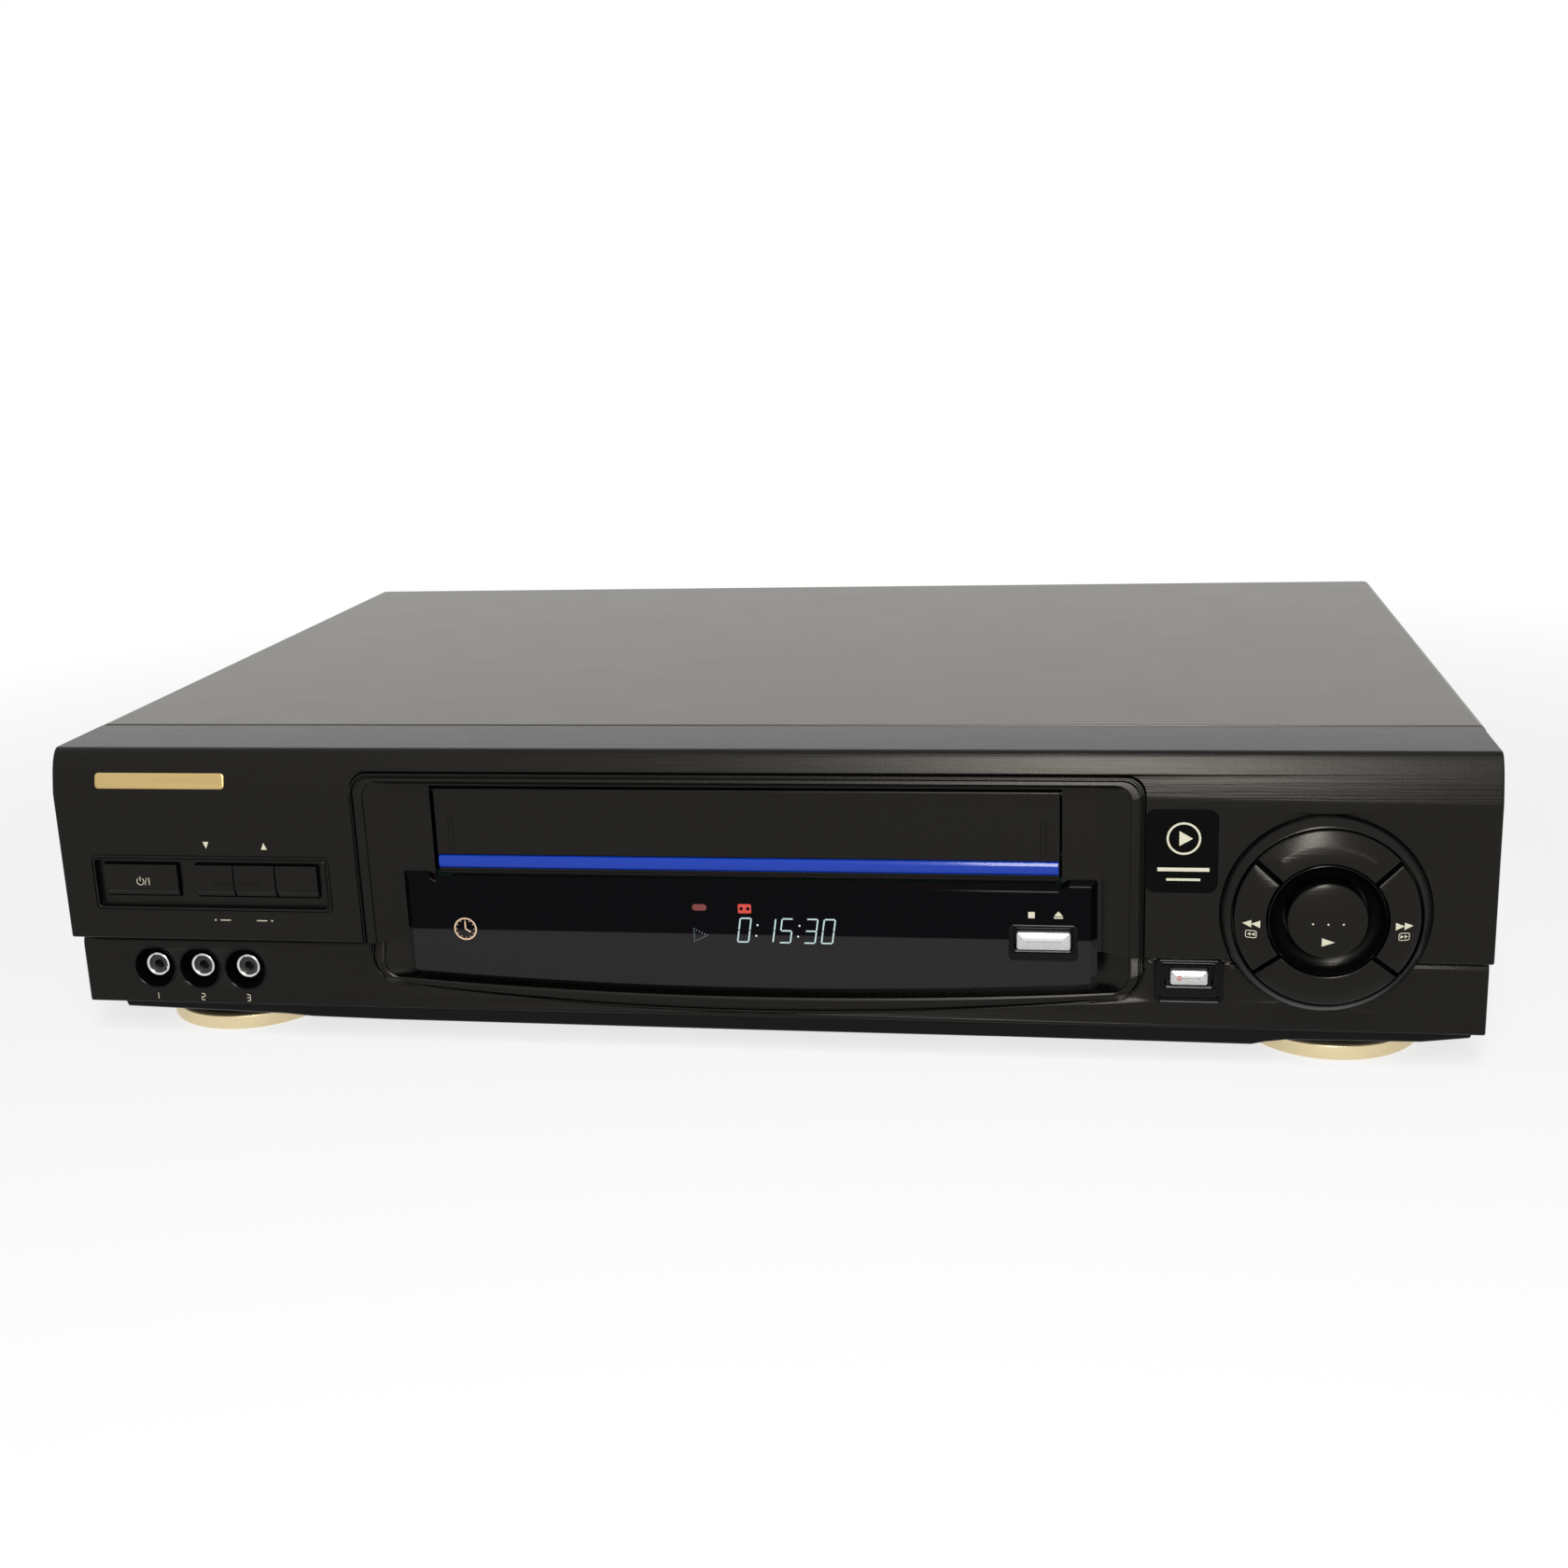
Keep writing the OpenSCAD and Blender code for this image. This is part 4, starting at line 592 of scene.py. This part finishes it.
def window():
    """The dark window: a shoulder slopes to a crease along its top and its sides."""
    right = arc(104.4, 58.5, 0.8, 0, 90, 4) + [(97.6, 59.3), (96.9, 59.2), (96.2, 58.85),
                                              (95.5, 58.4), (94.8, 58.05), (93.8, 57.9)]
    left = [(-x, z) for x, z in reversed(right)]
    outline = right + left + sagging(105.2, 24.2, 1560, 3.4, 6, 40)
    heights = [(93.6, 56.2), (94.4, 56.4), (95.2, 57.0), (96.0, 57.6), (96.8, 57.9)]
    crease = [(max(-103.5, min(103.5, x)), min(z, interpolate(heights, abs(x))))
              for x, z in outline]
    # The corners of the crease, where several points would fall together, stay a little apart
    crease = [(x - 0.02 * i, z) if x > 103.4 and z > 57.8 else
              (x + 0.02 * (len(right + left) - 1 - i), z) if x < -103.4 and z > 57.8 else (x, z)
              for i, (x, z) in enumerate(crease)]
    stop = round_rect(*STOP_FRAME[:2], 19.5, 10.6, 1.2)
    face, back = WINDOW_D, 5.0
    face_line = offset(crease, 0.6)
    parts = [loft([front(outline, back), front(outline, 4.9), front(crease, 3.3),
                   front(offset(crease, 0.15), 3.14), front(offset(crease, 0.4), 3.03),
                   front(face_line, face)]),
             fill(face_line, [stop], lambda x, z: (x, face, z)),
             fill(outline, [stop], lambda x, z: (x, back, z)),
             loft([front(stop, face), front(stop, back)])]
    add("smoked_window", join(parts), "case", "gloss_black", replaces=("display_window",))


# ---- Keys ----

TRAY_FLOOR, CELL_FLOOR = 2.0, 5.6
KEY_TOP, KEY_LOW = 61.7, 51.3


def key_frame(x, z, w, h, d, sill, key):
    """A dark surround: a bevelled lip at the hole, a groove round it, a sill below the key,
    and a floor that the key passes through."""
    outer = lambda i: round_rect(x, z, w - 2 * i, h - 2 * i, max(1.4 - i, 0.2))
    hole_w, hole_h, hole_z = w - 3.2, h - 3.2 - sill, z + sill / 2
    inner = lambda i: round_rect(x, hole_z, hole_w + 2 * i, hole_h + 2 * i, 0.7 + i)
    gate = round_rect(key[0], key[1], key[2] + 0.5, key[3] + 0.5, 0.9)
    rows = [(outer(0), 3), (outer(0), 0.15), (outer(0.12), -0.12), (outer(0.35), -0.25),
            (inner(1.05), -0.25), (inner(1.0), 0.2), (inner(0.78), 0.2), (inner(0.72), -0.28),
            (inner(0.64), -0.34), (inner(0.2), -0.12), (inner(0.05), 0.05), (inner(0), 0.5),
            (inner(0), 2.4), (gate, 2.4), (gate, 3)]
    rings = [front(line, d + step) for line, step in rows]
    return loft(rings, around=True)


def left_keys():
    x, z, w, h = TRAY
    outline = lambda i: round_rect(x, z, w - 2 * i, h - 2 * i, max(2.5 - i, 0.8))
    rows = [(0.0, 1.6), (0.0, -0.05), (0.15, -0.3), (0.42, -0.38), (0.75, -0.3), (0.88, 0.1),
            (1.08, 0.12), (1.18, -0.2), (1.4, -0.3), (1.62, -0.12), (1.75, 1.2),
            (1.77, TRAY_FLOOR)]
    cells = [round_rect(-189.65, 56.45, 25.3, 11.1, 0.7),
             round_rect(-151.7, 56.4, 40.6, 11.1, 0.7)]
    parts = [loft([front(outline(i), d) for i, d in rows]),
             fill(outline(rows[-1][0]), cells, lambda a, b: (a, TRAY_FLOOR, b))]
    for cell in cells:
        parts.append(loft([front(cell, TRAY_FLOOR), front(cell, CELL_FLOOR)]))
        parts.append((front(cell, CELL_FLOOR), [tuple(range(len(cell)))]))
    add("key_tray", join(parts), "case", "front_plastic", thick=0.5,
        outward=((x, -0.3, z + h / 2 - 0.4), (0, -1, 0)))
    section = [(4.4, KEY_LOW), (4.4, KEY_TOP)] + arc(1.0, KEY_TOP - 0.7, 0.7, 90, 180, 5)
    section += [(0.22, 57), (0.2, 53.6), (0.45, 53.3), (1.15, KEY_LOW + 0.25), (1.4, KEY_LOW)]
    spans = [("power_key_cap", "power_key", "power_button", -201.85, -177.45),
             ("channel_down_key_cap", "channel_down_key", "channel_down_button", -171.8, -159.15),
             ("channel_up_key_cap", "channel_up_key", "channel_up_button", -158.9, -145.5),
             ("source_key_cap", "source_key", "source_button", -145.2, -131.65)]
    for name, body, node, x0, x1 in spans:
        parts = [along_x(section, x0, x1, 0.35)]
        # Raised bar that runs over the two channel keys, with a dot at its left end
        if body.startswith("channel"):
            ridge = [(0.4, 54.9), (0.4, 55.9), (0.02, 55.75), (-0.02, 55.4), (0.02, 55.05)]
            parts.append(along_x(ridge, max(x0, -166.2), min(x1, -151.2), 0.12, 2))
            if body == "channel_down_key":
                parts.append(turned([(0.9, 0.4), (0.85, -0.05), (0.6, -0.16), (0.2, -0.18)],
                                    -166.0, 55.4, 20, cap=True))
        add(name, join(parts), body, "key_plastic", replaces=(node,))


def silver_keys():
    add("stop_key_frame", key_frame(*STOP_FRAME, 2.9, 1.9, STOP_KEY), "case", "gloss_black",
        M["frame_black"], replaces=("button_frames",))
    x, z, w, h = REC_FRAME
    outer = lambda i: round_rect(x, z, w - 2 * i, h - 2 * i, max(1.9 - i, 0.3))
    rows = [(0, 8.0), (0, 6.0), (0.1, 5.8), (0.35, 5.7), (0.6, 5.8), (0.7, 6.1), (1.35, 6.15),
            (1.4, 7.9)]
    parts = [loft([front(outer(i), d) for i, d in rows]),
             key_frame(131.65, 28.55, 17.2, 11.1, 6.2, 2.2, REC_KEY)]
    add("record_key_frame", join(parts), "case", "gloss_black", M["frame_black"])
    for name, body, node, x, z, w, h, d in (
            ("stop_key_cap", "stop_eject_key", "stop_eject_button", *STOP_KEY, 2.0),
            ("record_key_cap", "record_key", "record_button", *REC_KEY, 5.3)):
        outline = lambda i: round_rect(x, z, w - 2 * i, h - 2 * i, max(0.8 - i, 0.15))
        add(name, slab(outline, d + 4.5, d, 0.5, 0.35, h / 2 - 0.1), body, "silver_keys",
            replaces=(node,))


def sector(r0, r1, a0, a1, inset, gap=0.55, n=22):
    """A slice of a ring, its ends parallel to the groove lines."""
    def ends(r):
        turn = math.degrees(math.asin((gap + inset) / r))
        return a0 + turn, a1 - turn
    b0, b1 = ends(r1 - inset)
    c0, c1 = ends(r0 + inset)
    return arc(*JOG, r1 - inset, b0, b1, n) + arc(*JOG, r0 + inset, c1, c0, n)


def from_jog(x, z):
    return math.hypot(x - JOG[0], z - JOG[1])


DOME_R, DOME_RUN, DOME_FALL, DOME_TOP = 16.5, 9.5, 2.43, -6.4


def dome(x, z):
    """Depth of the key cluster's domed face."""
    r = max(DOME_R, from_jog(x, z))
    return DOME_FALL * ((r - DOME_R) / DOME_RUN) ** 2 + DOME_TOP


def segment(r0, r1, a0, a1, back, edge=0.5):
    """A domed key of the cluster, between two radii and two angles."""
    rings = [front(sector(r0, r1, a0, a1, 0), back)]
    for rise, run in quarter(4):
        rings.append(front(sector(r0, r1, a0, a1, edge * (1 - run)),
                           lambda x, z, rise=rise: dome(x, z) + edge * (1 - rise)))
    for share in (0.2, 0.4, 0.6, 0.8, 0.97):
        rings.append(front(sector(r0, r1, a0, a1, lerp(edge, (r1 - r0) / 2 - 0.05, share)), dome))
    return loft(rings, True, True)


# Radius and depth of the play key's profile
PLAY_CAP = [(0.5, -7.66), (2.5, -7.6), (5.0, -7.4), (7.5, -7.1), (9.0, -6.86), (10.2, -6.6),
            (10.7, -6.4), (11.0, -6.1), (11.1, -5.7), (11.1, 2.1)]


def on_play_key(x, z):
    return interpolate(PLAY_CAP, from_jog(x, z))


def jog():
    rim = [(29.2, 9.5), (29.2, 0.1), (29.15, -0.35), (28.95, -0.95), (28.7, -1.4), (28.4, -1.85),
           (27.9, -2.4), (27.0, -3.4), (26.7, -3.65), (26.45, -3.7), (26.25, -3.5), (26.2, -2.5),
           (26.2, 1.6)]
    bowl = [(16.35, 1.6), (16.3, -5.6), (16.2, -6.0), (16.0, -6.15), (15.8, -5.9), (15.5, -4.6),
            (15.1, -3.7), (14.4, -3.0), (13.5, -2.5), (12.6, -2.1), (12.1, -1.9), (11.95, -1.6),
            (11.9, 3.0), (0.5, 3.0)]
    parts = [turned(rim + bowl, *JOG, 120, cap=True), segment(16.6, 26.0, 40, 140, 1.7),
             segment(16.6, 26.0, 220, 320, 1.7)]
    add("jog_surround", join(parts), "case", "front_plastic", M["key_plastic"],
        replaces=("jog_ring",))
    add("rewind_key_cap", segment(16.8, 25.6, 140, 220, 2.0), "rewind_key", "key_plastic",
        replaces=("rewind_button",))
    add("fast_forward_key_cap", segment(16.8, 25.6, -40, 40, 2.0), "fast_forward_key",
        "key_plastic", replaces=("fast_forward_button",))
    add("play_key_cap", turned(PLAY_CAP[::-1], *JOG, 96, cap=True), "play_key", "key_plastic",
        replaces=("play_button",))


# ---- Sockets ----

def sockets():
    wells, shells, cores = [], [], []
    for x, z in WELLS:
        wells.append(turned([(7.15, 6.0), (7.05, 5.86), (6.85, 5.82), (6.65, 5.95), (6.55, 6.4),
                             (6.4, 14.4), (0.5, 14.5)], x, z, 64, cap=True))
        shells.append(turned([(3.9, 14.4), (3.9, 8.35), (3.83, 8.1), (3.67, 8.0), (3.3, 8.02),
                              (3.05, 8.2), (2.95, 8.5), (2.9, 14.4)], x, z + 0.3, 48, around=True))
        cores.append(turned([(2.8, 14.3), (2.8, 9.6), (2.65, 9.4), (1.95, 9.4), (1.7, 9.6),
                             (1.6, 12.5), (0.3, 12.5)], x, z + 0.3, 40, cap=True))
    add("socket_wells", join(wells), "case", "block_plastic", M["frame_black"])
    add("front_shells", join(shells), "case", "bright_plate",
        replaces=("front_socket_shells",))
    add("front_cores", join(cores), "case", "block_plastic", DARK)


# ---- Cover ----

def cover():
    hw, top, low, r = 216.75, 98.0, 13.5, 2.5
    outer = [(hw, low)] + arc(hw - r, top - r, r, 0, 90, 6)
    outer += arc(r - hw, top - r, r, 90, 180, 6) + [(-hw, low)]
    inner = [(-hw + 1, low)] + arc(r - hw, top - r, r - 1, 180, 90, 6)
    inner += arc(hw - r, top - r, r - 1, 90, 0, 6) + [(hw - 1, low)]
    section = outer + inner
    rings = [(36.1, 0.3), (36.2, 0.1), (36.4, 0), (294.6, 0), (294.9, 0.1), (295, 0.3)]
    parts = [loft([front(offset(section, i), d) for d, i in rings], True, True)]
    # Lip at the rear, with its three screw holes
    flange = [(-215.7, 90), (215.7, 90), (215.7, 97), (-215.7, 97)]
    holes = [circle(x, 93.5, 1.7, 20) for x in (-150, 0, 150)]
    for d in (294.0, 295.0):
        parts.append(fill(flange, holes, lambda x, z, d=d: (x, d, z)))
    for line in [flange] + holes:
        parts.append(loft([front(line, 294.0), front(line, 295.0)]))
    add("steel_cover", join(parts), "case", "cover_steel", replaces=("top_cover",), sharp=40)


# ---- Signs: thin printed pieces ----

SUNK = 0.03     # how far a printed piece reaches into the surface under it

def on_face(x, z):
    return face_depth(z)


def print_piece(name, outlines, depth, finish, body="case", slot_name="front_plastic",
                height=0.05):
    """Thin printed shapes on a surface. An outline pair is a ring."""
    def at(line, k):
        return [(x, (depth(x, z) if callable(depth) else depth) + k, z) for x, z in line]

    parts = []
    for o in outlines:
        if isinstance(o, tuple):
            outer, inner = o
            parts.append(loft([at(outer, SUNK), at(outer, -height), at(inner, -height),
                               at(inner, SUNK)], around=True))
        else:
            parts.append(loft([at(o, SUNK), at(o, -height)], True, True))
    add(name, join(parts), body, slot_name, finish, sharp=50)


def print_on_window(name, outlines, finish, depth=WINDOW_D):
    print_piece(name, outlines, depth, finish, slot_name="gloss_black", height=0.02)


def bar(x0, z0, x1, z1, w):
    """A line of width w."""
    v = Vector((x1 - x0, z1 - z0)).normalized() * w / 2
    n = Vector((-v.y, v.x))
    return [(x0 - n.x, z0 - n.y), (x1 - n.x, z1 - n.y), (x1 + n.x, z1 + n.y),
            (x0 + n.x, z0 + n.y)]


def arrow(x, z, w, h, way):
    """A solid triangle; way is R, L, U or D."""
    a, b = w / 2, h / 2
    return {"R": [(x - a, z - b), (x + a, z), (x - a, z + b)],
            "L": [(x + a, z + b), (x - a, z), (x + a, z - b)],
            "U": [(x - a, z - b), (x + a, z - b), (x, z + b)],
            "D": [(x + a, z + b), (x - a, z + b), (x, z - b)]}[way]


SEGMENTS = {"0": "abcdef", "1": "bc", "2": "abged", "3": "abgcd", "5": "afgcd"}


def digit(char, x, z, w, h, stroke, slant=0.0):
    """Seven-bar digit with its lower left corner at x, z."""
    g = stroke * 0.35
    m = z + h / 2
    lines = {"a": (x + g, z + h, x + w - g, z + h), "d": (x + g, z, x + w - g, z),
             "g": (x + g, m, x + w - g, m), "f": (x, m + g, x, z + h - g),
             "b": (x + w, m + g, x + w, z + h - g), "e": (x, z + g, x, m - g),
             "c": (x + w, z + g, x + w, m - g)}
    return [[(a + slant * (b - z), b) for a, b in bar(*lines[s], stroke)] for s in SEGMENTS[char]]


def display():
    """What glows and what is printed in the window, drawn just in front of it."""
    x, z, w, h, stroke = -1.4, 38.9, 3.3, 7.5, 0.4
    glow = []
    for char in "0:15:30":
        if char == ":":
            glow += [circle(x + 0.2 + 0.15 * k, z + k, 0.32, 10) for k in (2.0, 5.4)]
            x += 2.2
        else:
            glow += digit(char, x, z, w, h, stroke, 0.15)
            x += w + 1.95
    print_on_window("counter_digits", glow, GLOW)
    dots = []
    for i in range(6):
        t = i / 5
        for a, b in (((-14.6, 42.8), (-10.6, 40.8)), ((-14.6, 38.8), (-10.6, 40.8)),
                     ((-14.6, 38.8), (-14.6, 42.8))):
            dots.append(circle(lerp(a[0], b[0], t), lerp(a[1], b[1], t), 0.2, 8))
    print_on_window("play_sign_dots", dots, DIM_GLOW)
    print_on_window("display_oval", [round_rect(-12.7, 49.6, 4.4, 2.0, 0.95, 5)], DULL_RED)
    print_on_window("display_reels", [round_rect(1.1, 49.4, 4.0, 2.9, 0.4, 3)], RED_GLOW)
    print_on_window("display_reel_dots", [circle(x, 49.4, 0.55, 12) for x in (0.1, 2.1)],
                    STICKER, WINDOW_D - 0.02)
    # A plain clock dial in the window's left field
    cx, cz = -86.3, 41.4
    dial = [(circle(cx, cz, 3.6, 40), circle(cx, cz, 3.15, 40)),
            bar(cx, cz, cx, 43.8, 0.42), bar(cx, cz, -84.7, 40.4, 0.42)]
    for i in range(12):
        t = math.tau * i / 12
        dial.append(bar(cx + 2.6 * math.cos(t), cz + 2.6 * math.sin(t),
                        cx + 2.95 * math.cos(t), cz + 2.95 * math.sin(t), 0.2))
    print_on_window("timer_dial", dial, PEACH)
    print_on_window("stop_signs", [round_rect(86.2, 48.9, 1.9, 1.9, 0.1, 2),
                                   arrow(94.0, 49.4, 2.6, 1.5, "U"),
                                   bar(92.7, 48.15, 95.3, 48.15, 0.45)], CREAM)


def signs():
    """Generic signs on the face, the keys and the lower strip, and the two blank places."""
    tray = [arrow(-166.6, 68.2, 1.9, 2.2, "D"), arrow(-147.7, 68.1, 1.9, 2.2, "U"),
            bar(-164.6, 43.9, -161.2, 43.9, 0.28), bar(-152.6, 43.9, -149.2, 43.9, 0.28),
            circle(-166.2, 43.9, 0.28, 10), circle(-147.6, 43.9, 0.28, 10)]
    print_piece("tray_signs", tray, on_face, CREAM)
    for number, left, (x, _) in zip("123", (1.1, 0.55, 0.55), WELLS):
        print_piece(f"socket_number_{number}", digit(number, x - left, 14.7, 1.1, 2.1, 0.24),
                    6.0, CREAM)
    power = [arc(-189.9, 56.1, 1.25, 125, 415, 24) + arc(-189.9, 56.1, 1.02, 415, 125, 24),
             bar(-189.9, 56.2, -189.9, 57.7, 0.22), bar(-188.45, 54.9, -187.75, 57.3, 0.18),
             bar(-187.0, 54.9, -187.0, 57.3, 0.24)]
    print_piece("power_sign", power, 0.21, CREAM, "power_key", "key_plastic", 0.03)
    for name, body, x, way in (("rewind_sign", "rewind_key", 148.0, "L"),
                               ("fast_forward_sign", "fast_forward_key", 189.7, "R")):
        search = (round_rect(x, 47.4, 3.1, 2.3, 0.6, 4), round_rect(x, 47.4, 2.7, 1.9, 0.4, 4))
        marks = [arrow(x - 1.2, 50.5, 2.45, 2.2, way), arrow(x + 1.2, 50.5, 2.45, 2.2, way),
                 search, arrow(x - 0.55, 47.4, 0.9, 1.0, way),
                 arrow(x + 0.55, 47.4, 0.9, 1.0, way)]
        print_piece(name, marks, dome, CREAM, body, "key_plastic", 0.08)
    print_piece("play_sign", [arrow(169.1, 45.8, 3.55, 2.55, "R")], on_play_key, CREAM, "play_key",
                "key_plastic", 0.08)
    print_piece("play_dimples", [circle(x, 51.2, 0.28, 12) for x in (164.75, 168.9, 173.05)],
                on_play_key, CREAM, "play_key", "key_plastic", 0.02)
    # The record key's printed red dot is drawn in the glowing display red: a painted glow, as the
    # key holds no lamp.
    print_piece("record_dot", [circle(128.9, 29.5, 0.7, 20)], 4.98, RED_GLOW, "record_key",
                "silver_keys", 0.02)
    # Blank badge at the upper left, and a plain dark label beside the bay
    badge = lambda i: round_rect(-179.8, 88.5, 42.4 - 2 * i, 4.8 - 2 * i, max(1.2 - i, 0.3))
    rows = [(0, 0.3), (0, -0.35), (0.12, -0.5), (0.4, -0.6), (0.8, -0.62)]
    parts = [loft([front(badge(i), lambda x, z, k=k: face_depth(z) + k) for i, k in rows],
                  True, True)]
    add("blank_badge", join(parts), "case", "front_plastic", GOLD)
    thick = 0.08
    print_piece("dark_label", [round_rect(128.7, 69.8, 20.5, 24.8, 3)], 0.0, STICKER,
                height=thick)
    marks = [(circle(129.25, 73.6, 4.8, 40), circle(129.25, 73.6, 4.2, 40)),
             arrow(129.9, 73.6, 3.8, 4.4, "R"), bar(122, 64.4, 136.5, 64.4, 1.1),
             bar(124.5, 61.4, 134, 61.4, 0.7)]
    print_piece("label_signs", marks, -thick, CREAM, height=0.03)


for build in (front_panel, front_sill, bay_frame, door, window, left_keys, silver_keys, jog,
              sockets, cover, display, signs):
    build()
soften(["foot_rings", "foot_cups", "cover_screws"], 0.3)
soften(["rear_panel", "chassis_tray", "cord_gland", "aerial_sockets"], 0.25)


# ---- Floor, light and camera ----

WORLD_LIGHT = 0.18
CAMERA_AT = (0.105, -0.68203, 0.23464)
CAMERA_TURN = (9.559, -15.051, -2.164)      # yaw, pitch and roll in degrees
CAMERA_LENS = 44.303


def seen_rays(nodes, links):
    """1 for the rays that show a surface as it is: camera, glossy and transmission."""
    path = nodes.new("ShaderNodeLightPath")
    total = path.outputs["Is Camera Ray"]
    for name in ("Is Glossy Ray", "Is Transmission Ray"):
        most = nodes.new("ShaderNodeMath")
        most.operation = "MAXIMUM"
        links.new(total, most.inputs[0])
        links.new(path.outputs[name], most.inputs[1])
        total = most.outputs[0]
    return total


def backdrop():
    """A white floor that keeps the shadow, and a world that shows white but lights softly."""
    floor = bpy.data.meshes.new("floor")
    w = 6.0
    floor.from_pydata([(-w, -w, 0), (w, -w, 0), (w, w, 0), (-w, w, 0)], [], [(0, 1, 2, 3)])
    ob = bpy.data.objects.new("floor", floor)
    bpy.context.scene.collection.objects.link(ob)
    m = bpy.data.materials.new("floor_white")
    m.use_nodes = True
    nodes, links = m.node_tree.nodes, m.node_tree.links
    shader = nodes["Principled BSDF"]
    shader.inputs["Base Color"].default_value = (0.92, 0.92, 0.92, 1)
    shader.inputs["Roughness"].default_value = 0.9
    shader.inputs["Specular IOR Level"].default_value = 0.0
    # Seen or mirrored, the floor is partly white of its own, wholly so further out
    coords = nodes.new("ShaderNodeTexCoord")
    far = nodes.new("ShaderNodeVectorMath")
    far.operation = "LENGTH"
    links.new(coords.outputs["Object"], far.inputs[0])
    share = nodes.new("ShaderNodeMapRange")
    for name, value in (("From Min", 0.3), ("From Max", 0.75), ("To Min", 0.75), ("To Max", 1.0)):
        share.inputs[name].default_value = value
    links.new(far.outputs["Value"], share.inputs["Value"])
    both = nodes.new("ShaderNodeMath")
    both.operation = "MULTIPLY"
    links.new(seen_rays(nodes, links), both.inputs[0])
    links.new(share.outputs["Result"], both.inputs[1])
    white = nodes.new("ShaderNodeEmission")
    mix = nodes.new("ShaderNodeMixShader")
    links.new(both.outputs[0], mix.inputs[0])
    links.new(shader.outputs["BSDF"], mix.inputs[1])
    links.new(white.outputs[0], mix.inputs[2])
    links.new(mix.outputs[0], nodes["Material Output"].inputs["Surface"])
    floor.materials.append(m)

    world = bpy.data.worlds.new("studio")
    bpy.context.scene.world = world
    world.use_nodes = True
    nodes, links = world.node_tree.nodes, world.node_tree.links
    nodes.clear()
    out = nodes.new("ShaderNodeOutputWorld")
    soft, white = (nodes.new("ShaderNodeBackground") for _ in range(2))
    for shade, strength in ((soft, WORLD_LIGHT), (white, 1.0)):
        shade.inputs["Color"].default_value = (1, 1, 1, 1)
        shade.inputs["Strength"].default_value = strength
    mix = nodes.new("ShaderNodeMixShader")
    links.new(seen_rays(nodes, links), mix.inputs[0])
    links.new(soft.outputs[0], mix.inputs[1])
    links.new(white.outputs[0], mix.inputs[2])
    links.new(mix.outputs[0], out.inputs["Surface"])


def area(name, at, target, size, size_y, power):
    """A rectangular lamp that looks at a target."""
    data = bpy.data.lights.new(name, "AREA")
    data.shape = "RECTANGLE"
    data.size, data.size_y, data.energy = size, size_y, power
    ob = bpy.data.objects.new(name, data)
    ob.location = at
    ob.rotation_euler = (Vector(target) - Vector(at)).to_track_quat("-Z", "Y").to_euler()
    bpy.context.scene.collection.objects.link(ob)


def camera():
    """The camera at the photograph's angle, from the solve on the object's edges."""
    yaw, pitch, roll = (math.radians(a) for a in CAMERA_TURN)
    forward = Vector((-math.sin(yaw) * math.cos(pitch), math.cos(yaw) * math.cos(pitch),
                      math.sin(pitch)))
    right = Vector((math.cos(yaw), math.sin(yaw), 0))
    up = right.cross(forward)
    across = right * math.cos(roll) + up * math.sin(roll)
    upright = up * math.cos(roll) - right * math.sin(roll)
    data = bpy.data.cameras.new("camera")
    data.sensor_width = 36
    data.lens = CAMERA_LENS
    data.clip_start = 0.01
    ob = bpy.data.objects.new("camera", data)
    turn = Matrix((across, upright, -forward)).transposed().to_4x4()
    ob.matrix_world = Matrix.Translation(CAMERA_AT) @ turn
    bpy.context.scene.collection.objects.link(ob)
    bpy.context.scene.camera = ob


backdrop()
area("strip_light", (0.12, -0.98, 0.68), (0.08, -0.15, 0.07), 0.24, 0.95, 14)
camera()
bpy.context.scene.view_settings.view_transform = "Standard"
